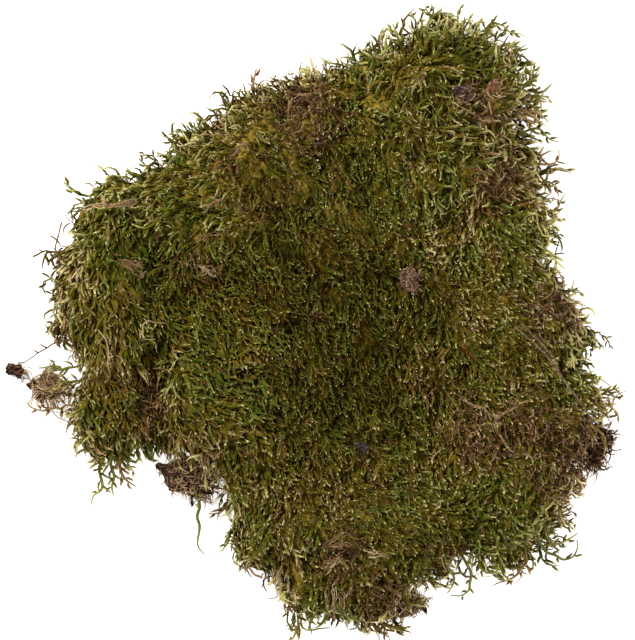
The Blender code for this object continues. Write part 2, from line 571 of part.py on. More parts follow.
def build_strands(trees):
    for name, (colour, root_radius, tip_radius, twigs, route) in STRANDS.items():
        line = settled(route, max(root_radius, tip_radius), trees)
        bm = strand_mesh(line, root_radius, tip_radius, twigs)
        trees.append(tree_of(add_object(name, bm, colour, 0.7)))


def clear_scene():
    for obj in list(bpy.data.objects):
        bpy.data.objects.remove(obj, do_unlink=True)


def main():
    clear_scene()
    carpet = build_carpet()
    clods = build_root_clods(carpet)
    trees = [tree_of(obj) for obj in [carpet, *clods]]
    trees += [tree_of(obj) for obj in build_crumbs(trees)]
    build_strands(trees)


main()
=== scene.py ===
"""Looks of the moss clump: a torn sheet of feather moss with its debris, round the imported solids.

The sheet's solid carries a sunken bed of old stems. Shoots grow out of the bed and end where the
solid's surface is, combed as the moss grew. Lengths in the tables are millimetres.
"""

import heapq
import json
import math
import random
from collections import namedtuple

import bmesh
import bpy
import numpy as np
from mathutils import Matrix, Vector, noise

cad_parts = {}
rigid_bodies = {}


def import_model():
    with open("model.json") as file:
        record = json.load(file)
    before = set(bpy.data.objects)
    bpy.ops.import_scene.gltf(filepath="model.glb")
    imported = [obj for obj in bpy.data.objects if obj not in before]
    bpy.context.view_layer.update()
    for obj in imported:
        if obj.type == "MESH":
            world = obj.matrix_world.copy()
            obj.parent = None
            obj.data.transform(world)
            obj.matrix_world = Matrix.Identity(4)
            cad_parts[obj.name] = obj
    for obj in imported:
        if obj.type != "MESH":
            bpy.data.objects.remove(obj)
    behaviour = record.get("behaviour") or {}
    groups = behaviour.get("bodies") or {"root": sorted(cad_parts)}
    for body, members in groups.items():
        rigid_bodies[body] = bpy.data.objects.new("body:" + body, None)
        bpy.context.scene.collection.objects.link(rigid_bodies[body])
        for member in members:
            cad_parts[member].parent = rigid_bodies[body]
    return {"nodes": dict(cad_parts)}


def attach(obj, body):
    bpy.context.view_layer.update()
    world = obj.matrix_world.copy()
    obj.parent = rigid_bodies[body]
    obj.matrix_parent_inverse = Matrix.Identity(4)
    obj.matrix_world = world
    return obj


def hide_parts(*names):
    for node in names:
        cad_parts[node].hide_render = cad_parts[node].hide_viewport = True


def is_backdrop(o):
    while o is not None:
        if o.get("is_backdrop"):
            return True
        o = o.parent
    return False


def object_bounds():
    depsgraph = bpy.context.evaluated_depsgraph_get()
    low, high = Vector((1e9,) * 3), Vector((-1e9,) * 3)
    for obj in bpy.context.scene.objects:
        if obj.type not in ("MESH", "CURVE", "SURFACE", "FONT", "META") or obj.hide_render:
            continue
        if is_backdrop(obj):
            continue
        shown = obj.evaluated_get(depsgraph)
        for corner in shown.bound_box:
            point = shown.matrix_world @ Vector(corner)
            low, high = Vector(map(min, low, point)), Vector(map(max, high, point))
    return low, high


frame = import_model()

bl_info = {
    "name": "Moss Clump",
    "version": (1, 0, 0),
    "blender": (4, 5, 0),
    "location": "View3D > Sidebar > Moss Clump",
    "description": "Builds the visible surface of a torn-off clump of feather moss",
    "category": "Object",
}

MM = 0.001
BAKE_MAP = "OFBake"       # map of a shoot's colours: tint across, root to tip upwards
TABLE_GAP = 0.1 * MM      # everything lies at least this far above the table
# What a bed's vertices tell the shoots: the way to bend, the way to grow, their size, tint, share of
# dead ones, brightness and density.
FIELDS = ("comb", "grow", "tall", "tint", "dead", "vigour", "thick")

# ---- how the moss lies ----
# Where shoots point, read at named spots: x, y, heading in degrees from +X, how far they lie down
# from 0 (upright) to 1 (flat), and their length against the usual one.
COMB = {
    "lobe top": (-72, 37, -110, 0.85, 1.1),
    "lobe outer": (-86, 28, -118, 0.9, 1.15),
    "lobe shoulder": (-80, 20, -104, 0.9, 1.15),
    "lobe middle": (-72, 14, -88, 0.9, 1.15),
    "lobe inner": (-65, 22, -62, 0.8, 1.1),
    "lobe west": (-88, 4, -108, 0.85, 1.1),
    "lobe waist": (-80, -8, -94, 0.8, 1.1),
    "lobe east": (-65, 6, -77, 0.8, 1.1),
    "lobe low": (-80, -26, -75, 0.75, 1.1),
    "lobe low east": (-66, -22, -50, 0.75, 1.05),
    "lobe foot": (-76, -42, -80, 0.8, 1.1),
    "slope top": (-58, 48, 175, 0.8, 1.05),
    "slope": (-49, 40, 182, 0.85, 1.05),
    "slope low": (-52, 28, -120, 0.6, 1.0),
    "shoulder rim": (-40, 62, 150, 0.75, 1.0),
    "shoulder": (-33, 54, 180, 0.65, 0.95),
    "shoulder inner": (-32, 40, 206, 0.6, 0.95),
    "north rim": (-14, 76, 140, 0.7, 1.0),
    "north": (-15, 60, -50, 0.55, 0.95),
    "north inner": (-15, 42, -67, 0.5, 0.9),
    "crown foot": (10, 72, -60, 0.6, 1.0),
    "crown west": (16, 90, 110, 0.7, 1.1),
    "crown tip": (40, 100, 85, 0.7, 1.15),
    "crown middle": (44, 84, -75, 0.75, 1.15),
    "crown east": (68, 88, 40, 0.75, 1.15),
    "crown slope": (62, 70, -50, 0.85, 1.2),
    "crown belly": (42, 60, -45, 0.85, 1.2),
    "crown low": (50, 40, -110, 0.75, 1.15),
    "crown low east": (70, 44, -40, 0.8, 1.2),
    "ridge": (14, 52, -80, 0.6, 0.95),
    "ridge low": (30, 34, -60, 0.5, 0.9),
    "west hollow": (-34, 22, -60, 0.5, 0.85),
    "heart north": (-4, 26, -75, 0.55, 0.9),
    "heart": (14, 10, -70, 0.55, 0.9),
    "heart west": (-18, 8, -57, 0.6, 0.9),
    "heart east": (34, 4, -85, 0.6, 0.9),
    "east": (50, 22, -65, 0.6, 0.95),
    "east rim": (84, 22, -30, 0.75, 1.05),
    "east low": (66, 6, -34, 0.6, 0.95),
    "east edge": (92, 0, -50, 0.75, 1.05),
    "waist west": (-48, -6, -40, 0.8, 1.1),
    "waist": (-33, -8, -43, 0.8, 1.15),
    "waist low": (-44, -24, -36, 0.8, 1.1),
    "waist arc": (-28, -24, -8, 0.8, 1.15),
    "middle low": (-12, -22, -70, 0.65, 0.95),
    "middle south": (8, -24, -62, 0.6, 0.9),
    "middle east": (28, -16, -95, 0.6, 0.9),
    "south heart": (16, -42, -62, 0.5, 0.9),
    "south east heart": (34, -40, -79, 0.55, 0.9),
    "south-east": (54, -28, -50, 0.6, 1.0),
    "south-east rim": (96, -30, -56, 0.75, 1.05),
    "south-east low": (62, -54, -99, 0.65, 1.0),
    "south-east slope": (78, -60, -60, 0.75, 1.05),
    "south-east foot": (84, -76, -40, 0.8, 1.1),
    "south lip": (56, -76, -43, 0.75, 1.05),
    "south notch": (40, -72, -40, 0.65, 1.0),
    "south": (20, -66, -50, 0.6, 1.0),
    "south west": (-4, -60, -75, 0.6, 1.0),
    "south flank": (-26, -60, -85, 0.7, 1.05),
    "south tip": (0, -88, -76, 0.7, 1.05),
    "south toe": (18, -98, -65, 0.75, 1.1),
}

# Away from the patches below: the tint, the share of dead moss and the brightness of the tips, which
# is partly painted light and shade.
MEAN_TINT = 0.325
MEAN_DEAD = 0.015
MEAN_VIGOUR_AND_PAINTED_LIGHT = 0.95
# Patches of colour: x, y, radius, tint on the palette below, and how much of the moss is dead there.
PATCHES = {
    "lobe ochre": (-88, 20, 15, 0.60, 0.03),
    "lobe green": (-67, 28, 12, 0.06, 0.02),
    "lobe shoulder green": (-63, 46, 8, 0.10, 0.02),
    "lobe brown": (-72, -12, 13, 0.66, 0.12),
    "lobe waist": (-84, -4, 9, 0.48, 0.05),
    "lobe foot": (-84, -38, 10, 0.62, 0.12),
    "lobe foot green": (-69, -38, 7, 0.30, 0.05),
    "lobe foot brown": (-58, -31, 8, 0.84, 0.55),
    "slope green": (-46, 46, 16, 0.30, 0.03),
    "north dead": (-4, 68, 10, 0.70, 0.55),
    "north dead strip": (-2, 78, 8, 0.78, 0.6),
    "north olive": (-28, 66, 14, 0.50, 0.06),
    "north brown": (-22, 42, 8, 0.66, 0.18),
    "crown hollow": (36, 57, 7, 0.62, 0.15),
    "ridge green": (18, 48, 13, 0.06, 0.02),
    "crown green": (44, 88, 17, 0.34, 0.05),
    "crown dead": (56, 74, 7, 0.72, 0.5),
    "crown grey-green": (56, 54, 17, 0.18, 0.06),
    "crown east": (76, 76, 9, 0.40, 0.12),
    "east dead strip": (64, 50, 8, 0.74, 0.6),
    "east green": (66, 18, 8, 0.22, 0.03),
    "east heart brown": (38, 27, 10, 0.66, 0.14),
    "crown foot brown": (51, 32, 7, 0.62, 0.12),
    "east low brown": (72, -17, 8, 0.64, 0.12),
    "east dead rim": (78, 60, 8, 0.54, 0.3),
    "heart dark": (14, 8, 24, 0.30, 0.04),
    "heart brown": (0, 20, 14, 0.46, 0.08),
    "west brown": (-40, 20, 8, 0.76, 0.3),
    "waist green": (-38, -22, 17, 0.20, 0.02),
    "middle olive": (-10, -4, 18, 0.42, 0.05),
    "middle green": (-6, -15, 9, 0.18, 0.02),
    "middle brown": (36, -19, 9, 0.64, 0.10),
    "south heart east": (48, -49, 8, 0.64, 0.12),
    "east brown": (82, 4, 9, 0.74, 0.5),
    "east olive": (52, 12, 18, 0.46, 0.08),
    "south-east dead": (60, -38, 11, 0.72, 0.5),
    "south-east pale": (64, -44, 7, 0.66, 0.4),
    "south-east dark": (76, -38, 8, 0.90, 0.6),
    "root side": (93, -44, 9, 0.84, 0.7),
    "lobe waist brown": (-61, -21, 6, 0.66, 0.15),
    "south-east green": (62, -70, 15, 0.16, 0.02),
    "south-east rim": (86, -57, 11, 0.74, 0.40),
    "south-east spot": (63, -30, 6, 0.26, 0.03),
    "south lip brown": (47, -84, 8, 0.70, 0.30),
    "south brown": (-10, -52, 18, 0.56, 0.08),
    "south green": (26, -64, 12, 0.22, 0.04),
    "south heart brown": (16, -50, 9, 0.60, 0.12),
    "south dead": (8, -82, 9, 0.72, 0.5),
    "south rim": (-14, -88, 10, 0.58, 0.1),
    "toe brown": (26, -100, 9, 0.76, 0.4),
    "notch brown": (-44, -50, 9, 0.82, 0.5),
}
PATCH_TINT, PATCH_DEAD = 3, 4   # columns of the table above
TINT_PULL = 0.75          # how far a patch draws the tint to its own, in its middle
PULL = 0.85               # the same for dead moss and for brightness

# How bright the shoots' tips and feet are, partly painted light and shade: x, y, radius, and
# brightness against the usual one.
VIGOUR_AND_PAINTED_LIGHT = {
    "heart": (6, 2, 34, 0.42),
    "heart south": (8, -30, 24, 0.55),
    "heart west": (-19, -18, 9, 0.62),
    "ridge": (13, 56, 16, 0.58),
    "ridge east": (34, 38, 8, 1.20),
    "crown hollow": (29, 69, 8, 0.70),
    "north inner": (-8, 36, 26, 0.74),
    "west hollow": (-40, 12, 15, 0.60),
    "cleft": (-56, 14, 10, 0.58),
    "lobe top": (-71, 27, 10, 0.72),
    "lobe shoulder": (-82, 23, 9, 1.08),
    "lobe crest": (-66, 46, 8, 1.30),
    "heart crest": (17, 22, 8, 0.45),
    "lobe low": (-63, -29, 10, 0.70),
    "lobe outer": (-83, 12, 14, 1.12),
    "lobe west": (-93, 6, 6, 0.85),
    "lobe waist": (-66, 0, 9, 1.00),
    "lobe foot": (-78, -50, 8, 1.20),
    "waist": (-40, -27, 16, 0.92),
    "slope": (-48, 42, 14, 0.90),
    "middle": (-14, -20, 14, 0.66),
    "crown slope": (60, 56, 20, 1.18),
    "crown": (48, 88, 18, 0.90),
    "crown rim": (58, 101, 8, 1.15),
    "east": (54, -2, 14, 1.04),
    "east rim": (92, 2, 9, 1.50),
    "east rim low": (96, -8, 8, 1.45),
    "south-east rim": (92, -58, 9, 1.45),
    "north rim": (-1, 84, 8, 1.40),
    "crown edge": (74, 79, 6, 1.40),
    "east dead": (78, 52, 9, 1.10),
    "south-east": (62, -44, 12, 1.15),
    "east dark": (78, -36, 11, 0.70),
    "south notch": (44, -68, 8, 0.72),
    "south lip": (59, -80, 8, 0.68),
    "south": (0, -80, 22, 0.84),
}

# Sorts of shoot. A shoot is a horn, widest below its middle, with leaves standing off it like
# scales. Bend and splay are in radians, sizes in mm. Bare is the share of a shoot that has no
# leaves, from its foot, and side shoots make it a feather.
Sort = namedtuple("Sort", "length bend wave girth rings leaves leaf splay bare side_shoots"
                          " per_cm2 spread")
SORTS = {
    "plump": Sort(4.5, (0.2, 1.8), 0.75, 0.46, 3, 4, (1.40, 0.66), 0.40, 0.30, 0, 58, 0.55),
    "stubby": Sort(4.1, (0.2, 1.9), 0.70, 0.41, 2, 5, (1.35, 0.74), 0.60, 0.20, 0, 58, 0.66),
    "wavy": Sort(6.3, (0.5, 2.4), 0.80, 0.36, 3, 7, (1.40, 0.62), 0.55, 0.15, 0, 48, 0.75),
    "feather": Sort(12.0, (0.3, 2.6), 1.10, 0.36, 4, 4, (1.30, 0.66), 0.35, 0.40, 4, 12, 0.80),
    "rim": Sort(8.0, (0.2, 2.8), 1.10, 0.38, 4, 6, (1.25, 0.64), 0.40, 0.20, 0, 40, 0.80),
}
KINDS = 14                # how many shoots of each sort differ from one another
SHOOT_SIDES = 3
SIDE_SHOOT = {"length": 4.2, "girth": 0.42, "leaves": 2, "angle": 0.80}
STOUT_SHARE = 0.25        # how many kinds in a sort are stouter, and by how much
STOUT_SIZE = 1.3
LENGTH_SPREAD = 0.32      # how far a shoot's length strays, against the mean
TINT_SPREAD = 0.12        # how far its tint strays from its patch's
LIVING_TINTS = (0.03, 0.90)   # where on the palette living shoots may be, and dead ones
DEAD_TINTS = (0.70, 0.92)
LIFT = 1.4                # how far a shoot's foot may stand above the bed, on older stems
# How upright a face's normal is where the rim begins and ends, and the fringe.
RIM_SLOPE = 0.42
RIM_UNDERSIDE = -0.4
FRINGE = (-0.3, 0.6)
# Parts that the shoots are split into, each a mesh of its own: middle, its sort of shoot, and how
# far the shoots stray from their patch's lie, in radians.
REGIONS = {
    "moss_left_lobe": (-78, 2, "plump", 0.4),
    "moss_north_west": (-26, 48, "wavy", 1.2),
    "moss_crown": (50, 78, "wavy", 1.2),
    "moss_ridge": (14, 48, "stubby", 0.7),
    "moss_waist": (-38, -12, "plump", 0.55),
    "moss_heart": (10, 0, "stubby", 0.85),
    "moss_east": (76, 10, "stubby", 1.3),
    "moss_south_east": (66, -56, "stubby", 1.3),
    "moss_south_heart": (20, -44, "stubby", 0.9),
    "moss_south": (0, -84, "stubby", 1.1),
}

# Where the bed's edge runs nearer to the shoots' tips, or further in under lace: x, y, radius, the
# heading in degrees in which it is shifted, and how far.
EDGE = {
    "south lip": (64, -86, 10, 275, 4.0),
    "south lip west": (51, -91, 8, 265, 5.0),
    "south-east foot": (80, -84, 9, 300, 2.5),
    "east upper": (83, 79, 8, 200, 3.5),
    "east spike": (98, 8, 8, 190, 2.5),
    "crown east": (78, 96, 8, 230, 3.0),
    "crown top": (60, 108, 8, 250, 2.0),
    "shoulder": (-35, 73, 8, 130, 2.5),
    "lobe top": (-75, 51, 8, 120, 3.5),
    "crown west": (16, 96, 9, 110, 3.0),
    "crown north-east": (68, 100, 7, 60, 2.0),
    "lobe west": (-98, 18, 9, 0, 2.5),
    "south-west": (-29, -86, 9, 215, 3.0),
    "bottom": (-8, -107, 9, 250, 3.0),
    "toe": (40, -104, 8, 110, 4.5),
    "toe west": (23, -108, 8, 280, 3.0),
    "south flank": (-20, -94, 8, 60, 2.5),
    "east edge": (99, -22, 8, 330, 3.0),
    "root side": (92, -44, 10, 350, 7.0),
    "notch": (-54, -48, 7, 250, 2.5),
    "lobe foot": (-69, -51, 7, 270, 2.0),
}

# ---- colours ----
# Tints of moss from deep green to old brown, by place on the palette: at the shoot's foot, along its
# body and at its tip. The dark foot colours are partly painted shade, where the shoots shade each
# other's lower parts, and the pale tip colours partly a painted highlight.
MOSS_TINTS = [
    (0.03, "#272805", "#434c09", "#c4c670"),
    (0.11, "#2c2c06", "#4c540a", "#ccc66a"),
    (0.18, "#31310d", "#666a2c", "#b0aa72"),
    (0.25, "#302a07", "#5c5c14", "#d4c872"),
    (0.35, "#2e2305", "#59540e", "#f2e88c"),
    (0.46, "#322305", "#625514", "#f6e294"),
    (0.56, "#372508", "#6c591a", "#f8e6a4"),
    (0.65, "#3c2a10", "#7c6228", "#f8e6b4"),
    (0.74, "#2d1d0c", "#67451c", "#e0b680"),
    (0.82, "#25180d", "#5c3c1e", "#c29064"),
    (0.90, "#281c10", "#6c4e2e", "#cca880"),
    (0.97, "#1a120d", "#352113", "#684a34"),
]
# Tints of roots and dead stems from black-brown to straw, in the same way, their dark feet and pale
# tips likewise partly painted shade and highlight.
FIBRE_TINTS = [
    (0.05, "#150d09", "#271a12", "#423024"),
    (0.22, "#26160e", "#462d1c", "#6b4a34"),
    (0.40, "#3a291a", "#65482c", "#95724c"),
    (0.56, "#523b26", "#876640", "#b59468"),
    (0.72, "#6b4f34", "#a68258", "#d4b088"),
    (0.88, "#866f4e", "#c8ae84", "#ecdebc"),
]

# Where the bed is painted darkest, as shade under the dense middle, in metres.
SHADED_MIDDLE = (0.006, -0.008, 0.02)

# ---- loose strands ----
# Leafy sprigs: tint on the moss's palette, girth, leaf length and width, how far the leaves stand
# off in radians, gap from leaf to leaf, and how many side shoots.
SPRIGS = {
    "loose_shoot_long": (0.20, 0.60, 1.1, 0.55, 0.15, 0.7, 0),
    "curved_sprig": (0.36, 0.61, 1.9, 0.85, 0.30, 0.6, 5),
    "feathered_sprig": (0.24, 0.58, 1.9, 0.81, 0.30, 0.6, 7),
    "brown_pointed_sprig": (0.72, 0.53, 1.9, 0.94, 0.40, 0.5, 5),
    "sprig_left_upper": (0.18, 0.55, 1.8, 0.81, 0.30, 0.6, 6),
    "sprig_left_lower": (0.40, 0.55, 1.8, 0.81, 0.30, 0.6, 6),
    "sprig_lower_left": (0.68, 0.46, 1.8, 0.72, 0.30, 0.6, 6),
    "orange_sprig_bottom": (0.77, 0.38, 1.6, 0.72, 0.30, 0.5, 4),
    "green_strand_bottom": (0.20, 0.42, 1.2, 0.70, 0.25, 0.6, 1),
    "curl_bottom": (0.20, 0.55, 1.8, 0.77, 0.30, 0.6, 6),
    "curled_sprig_south_1": (0.22, 0.58, 1.9, 0.85, 0.30, 0.6, 7),
    "curled_sprig_south_2": (0.18, 0.56, 1.9, 0.81, 0.30, 0.6, 6),
    "curled_sprig_south_3": (0.36, 0.56, 1.9, 0.81, 0.30, 0.6, 7),
    "brown_sprig_south": (0.66, 0.58, 1.9, 0.85, 0.30, 0.6, 7),
    "curled_sprig_east_1": (0.20, 0.58, 1.9, 0.81, 0.30, 0.6, 7),
    "curled_sprig_east_2": (0.44, 0.58, 1.9, 0.81, 0.30, 0.6, 7),
    "dead_sprig_right": (0.82, 0.28, 1.8, 0.55, 0.30, 0.6, 3),
    "stray_right_1": (0.36, 0.46, 1.8, 0.72, 0.30, 0.6, 8),
    "stray_right_2": (0.42, 0.46, 1.8, 0.72, 0.30, 0.6, 8),
    "stray_right_3": (0.30, 0.49, 1.8, 0.72, 0.30, 0.6, 8),
    "stray_right_4": (0.46, 0.46, 1.8, 0.72, 0.30, 0.6, 7),
    "yellow_sprig_right": (0.58, 0.46, 1.6, 0.85, 0.35, 0.5, 6),
    "bud_sprig_right": (0.70, 0.40, 1.5, 0.80, 0.45, 0.8, 4),
    "top_curl_left": (0.28, 0.46, 1.8, 0.72, 0.30, 0.6, 6),
    "top_curl_right": (0.36, 0.49, 1.8, 0.72, 0.30, 0.6, 9),
    "stray_top": (0.36, 0.35, 1.4, 0.68, 0.30, 0.6, 5),
    "green_stalk": (0.30, 0.40, 1.0, 0.40, 0.25, 2.4, 0),
}
# Painted light: a loose sprig's foot is raised well above the dark foot colour, for the light that
# shines through the sprigs from the table.
SPRIG_SHADE = (0.60, 0.92)   # where a loose sprig's foot and its tips are on the palette's height
# Bare threads: tint on the fibre palette, radius, how many lie side by side, and how far they waver.
THREADS = {
    "rootlet_pale": (0.84, 0.28, 1, 0.5),
    "rootlet_branched": (0.86, 0.30, 1, 0.7),
    "forked_stem_left": (0.16, 0.22, 1, 0.5),
    "twig_stem_left": (0.30, 0.34, 1, 0.5),
    "dark_twig_right": (0.06, 0.34, 1, 0.3),
    "dead_sprig_left": (0.42, 0.30, 2, 0.5),
    "dead_strand_left": (0.78, 0.21, 6, 1.3),
    "dead_strand_north": (0.58, 0.22, 4, 0.9),
    "dead_strand_shoulder": (0.62, 0.22, 4, 0.9),
}
# Threads on which the stubs of leaves still stand, as on a comb.
COMBED = ("dead_strand_left", "dead_sprig_left", "dead_strand_north", "dead_strand_shoulder")
# Fans of thin blades: tint on the fibre palette, radius, how many, and half their spread in radians.
FANS = {
    "dead_tuft_west": (0.64, 0.20, 14, 0.42),
    "dead_tuft_inner": (0.78, 0.18, 12, 0.40),
    "pink_strand": (0.72, 0.16, 12, 0.35),
    "pale_fibre_upper": (0.58, 0.15, 12, 0.50),
    "pale_fibre_lower": (0.78, 0.11, 9, 0.35),
    "dead_stem_bottom_1": (0.76, 0.18, 9, 0.12),
    "dead_stem_bottom_2": (0.72, 0.18, 9, 0.12),
    "dead_stem_bottom_3": (0.68, 0.18, 8, 0.14),
}
# Needles and straws: slot, radius, and how flat they are from 0 (flat) to 1 (round).
BLADES = {
    "pine_needle_long": ("dry_needle", 0.34, 0.8),
    "pine_needle_short": ("dry_needle", 0.34, 0.8),
    "straw_forked": ("straw", 0.50, 0.5),
    "straw_short": ("straw", 0.50, 0.5),
}

# Clods: number of fibres, their length, tint on the fibre palette, the way they run in degrees, how
# far their core of soil is drawn in, and how many stems are caught in them.
CLODS = {
    "root_mass_notch": (460, 6.5, 0.70, -12, 0.8, 90),
    "root_mass_right": (240, 7.5, 0.54, -66, 2.2, 200),
    "root_tuft_left": (360, 8.0, 0.74, -35, 1.4, 50),
    "fibre_patch_bottom": (460, 5.0, 0.70, 50, 1.2, 20),
}
CLOD_GRAINS = (4.0, 1.5)  # widths of a clod's lumps
# Crumbs: slot, relief, how far they are drawn in, number of fibres on them, their length, radius,
# tint, and the way they run.
CRUMBS = {
    "soil_crumb_left": ("soil", 1.2, 0.0, 90, 4.5, 0.14, 0.50, -25),
    "soil_crumb_dark": ("soil", 1.3, 0.4, 20, 1.6, 0.16, 0.26, None),
    "bark_crumb": ("bark", 1.5, 0.0, 60, 4.8, 0.15, 0.56, -25),
    "pale_crumb": ("dead_moss", 1.6, 0.0, 120, 1.8, 0.15, 0.70, None),
    "leaf_scrap": ("dead_leaf", 1.1, 0.0, 26, 5.2, 0.26, 0.70, -64),
}
CRUMB_GRAINS = (2.4, 1.1, 0.6)
# Dead stems lying on the moss: how many, their length, how far above the bed they lie, their tint,
# and the least share of dead moss under them.
DEAD_STEMS = {"count": 1250, "length": 7.0, "rise": 1.2, "tint": 0.42, "least_dead": 0.1}

# Old stems and roots under the sheet: how many, their length, and their tint.
UNDER_FELT = {"count": 1300, "length": 13.0, "tint": 0.58}

# ---- stage ----
TABLE_HALF = 3.0          # half the table's width, in metres
TABLE_GLOW = 0.85         # how brightly the acrylic is lit from below
SKY_STRENGTH = 0.28
# Softboxes: place, width, both in metres, and power in watts.
SOFTBOXES = {
    "key_softbox": ((-0.8, 0.7, 0.8), 0.35, 20.0),
    "low_softbox": ((0.9, -0.5, 0.7), 0.5, 9.0),
}
CAMERA_SHIFT = (0.36 * MM, -0.18 * MM)   # the camera isn't quite over the middle


def hex_colour(text):
    """An sRGB hex value as the linear colour that the shaders take."""
    channels = [int(text[i:i + 2], 16) / 255 for i in (1, 3, 5)]
    linear = [c / 12.92 if c <= 0.04045 else ((c + 0.055) / 1.055) ** 2.4 for c in channels]
    return (*linear, 1.0)


def fill(tree, node, sockets):
    """Puts values or links into a node's input sockets."""
    for key, value in sockets.items():
        if isinstance(value, bpy.types.NodeSocket):
            tree.links.new(value, node.inputs[key])
        else:
            node.inputs[key].default_value = value


def add_node(tree, kind, sockets=None, **settings):
    """Adds a node, with its settings and with values or links for its input sockets."""
    node = tree.nodes.new(kind)
    for name, value in settings.items():
        setattr(node, name, value)
    fill(tree, node, sockets or {})
    return node


def new_material(name):
    """An empty material with its shader, as (material, tree, shader)."""
    material = bpy.data.materials.new(name)
    material.use_nodes = True
    tree = material.node_tree
    return material, tree, tree.nodes["Principled BSDF"]


def ramp(tree, factor, stops):
    """A colour ramp through (place, hex colour) stops."""
    node = add_node(tree, "ShaderNodeValToRGB", {"Fac": factor})
    elements = node.color_ramp.elements
    while len(elements) < len(stops):
        elements.new(0.5)
    for element, (place, colour) in zip(elements, stops):
        element.position = place
        element.color = hex_colour(colour)
    return node.outputs["Color"]


def mixed(tree, factor, below, above, blend="MIX"):
    """Two colours mixed by a factor."""
    return add_node(tree, "ShaderNodeMix", {0: factor, 6: below, 7: above}, data_type="RGBA",
                    blend_type=blend).outputs[2]


def rescaled(tree, value, low, high, at_low=0.0, at_high=1.0):
    """What runs from at_low to at_high while a value goes from low to high."""
    return add_node(tree, "ShaderNodeMapRange",
                    {0: value, 1: low, 2: high, 3: at_low, 4: at_high}).outputs[0]


def drawn_out(tree, place, turn, stretch):
    """Places at which a pattern is drawn out that many times along a turn in degrees."""
    return add_node(tree, "ShaderNodeMapping",
                    {"Vector": place, "Rotation": (0, 0, math.radians(turn)),
                     "Scale": (stretch, 1, 1)}, vector_type="TEXTURE").outputs[0]


def palette_material(name, tints):
    """A material whose colour comes from the piece's own map: its tint across, and root to tip
    upwards. It gives the map's height too."""
    material, tree, shader = new_material(name)
    place = add_node(tree, "ShaderNodeUVMap", uv_map=BAKE_MAP)
    across, rise, _ = add_node(tree, "ShaderNodeSeparateXYZ", {0: place.outputs[0]}).outputs
    foot, body, tip = (ramp(tree, across, [(stop[0], stop[k]) for stop in tints])
                       for k in (1, 2, 3))
    # The dark foot colour is partly painted shade and the pale tip colour partly a painted highlight.
    lower = mixed(tree, rescaled(tree, rise, 0.0, 0.35), foot, body)
    colour = mixed(tree, rescaled(tree, rise, 0.70, 1.0), lower, tip)
    tree.links.new(colour, shader.inputs["Base Color"])
    return material, tree, shader, rise


def moss_leaf():
    """Living and dead moss leaf, one cell thick and waxy: dull olive with a shiny tip that is paler,
    partly as a painted highlight, and a dark foot that is partly painted shade.
    """
    material, tree, shader, rise = palette_material("moss_leaf", MOSS_TINTS)
    fill(tree, shader, {"Roughness": rescaled(tree, rise, 0.3, 0.9, 0.75, 0.50),
                        "Specular IOR Level": 0.12, "Specular Tint": hex_colour("#fff4c8"),
                        "Subsurface Weight": 0.3, "Subsurface Radius": (1.0, 1.0, 1.0),
                        "Subsurface Scale": 0.6 * MM})
    return material


def dry_fibre():
    """Dead moss stem and fine root, dried out: brown to pinkish straw, dull, paler at its tip, partly
    as a painted highlight, and darker at its foot, partly as painted shade.
    """
    material, tree, shader, _ = palette_material("dry_fibre", FIBRE_TINTS)
    fill(tree, shader, {"Roughness": 0.8, "Specular IOR Level": 0.2})
    return material


def mottled(name, grain, dark, middle, light, relief, roughness, stretch=1.0, turn=0.0):
    """A mottled material: flecks about a grain wide, in millimetres, drawn out that many times
    along a turn in degrees."""
    material, tree, shader = new_material(name)
    place = add_node(tree, "ShaderNodeTexCoord").outputs["Object"]
    place = drawn_out(tree, place, turn, stretch)
    flecks = add_node(tree, "ShaderNodeTexNoise",
                      {"Vector": place, "Scale": 1 / (grain * MM), "Detail": 5.0,
                       "Roughness": 0.65}).outputs["Fac"]
    grit = add_node(tree, "ShaderNodeTexVoronoi",
                    {"Vector": place, "Scale": 1 / (0.5 * grain * MM)}).outputs["Distance"]
    colour = ramp(tree, flecks, [(0.36, dark), (0.5, middle), (0.66, light)])
    # Painted shade between the grains: each grain's colour darkens from its middle to its edge.
    shade = ramp(tree, grit, [(0.1, "#ffffff"), (0.6, "#8a8078")])
    bump = add_node(tree, "ShaderNodeBump", {"Height": flecks, "Distance": relief * MM})
    fill(tree, shader, {"Base Color": mixed(tree, 1.0, colour, shade, "MULTIPLY"),
                        "Normal": bump.outputs[0], "Roughness": roughness,
                        "Specular IOR Level": 0.15})
    return material


def humus_soil():
    """Damp leaf mould, crumbled: dark red-brown with tan grit, no shine."""
    return mottled("humus_soil", 0.9, "#24140e", "#553527", "#96705a", 0.4, 0.95)


def matted_roots():
    """Roots and old stems felted with soil: dark brown, partly painted shade between the fibres laid
    over it, with grey-pink threads, dull.
    """
    return mottled("matted_roots", 0.6, "#24140f", "#503428", "#8a6a56", 0.3, 0.95)


def charred_soil():
    """A charred, mineral crumb: nearly black, with bright grains that are partly painted glints."""
    return mottled("charred_soil", 0.45, "#0d0a08", "#2a241f", "#bcb2aa", 0.4, 0.5)


def rotten_bark():
    """Inner bark, weathered: purple-brown with long grey-pink fibres."""
    return mottled("rotten_bark", 0.6, "#261b19", "#5a4540", "#a8928c", 0.35, 0.9,
                   stretch=4, turn=-25)


def dead_moss_crumb():
    """A knot of old moss leaves and grit: pinkish brown with pale specks."""
    return mottled("dead_moss_crumb", 0.8, "#432a20", "#96705c", "#ecc8b2", 0.4, 0.95)


def withered_leaf():
    """A crumpled scrap of leaf: reddish tan with darker stains, slightly glossy."""
    return mottled("withered_leaf", 0.8, "#5c3420", "#ac734c", "#e2b690", 0.25, 0.6,
                   stretch=2.5, turn=-70)


def pine_needle_skin():
    """A dry pine needle: grey-brown and hard, with pale edges and a dark channel along it."""
    return mottled("dry_pine_needle", 0.5, "#6b4e3c", "#aa8a70", "#dcc2a8", 0.1, 0.5,
                   stretch=8, turn=-50)


def split_straw():
    """Split grass straw, bleached: straw yellow turning pink-brown, with long fine fibres."""
    return mottled("split_straw", 0.5, "#6b4a2c", "#c29a68", "#ead3a4", 0.1, 0.5,
                   stretch=4, turn=-62)


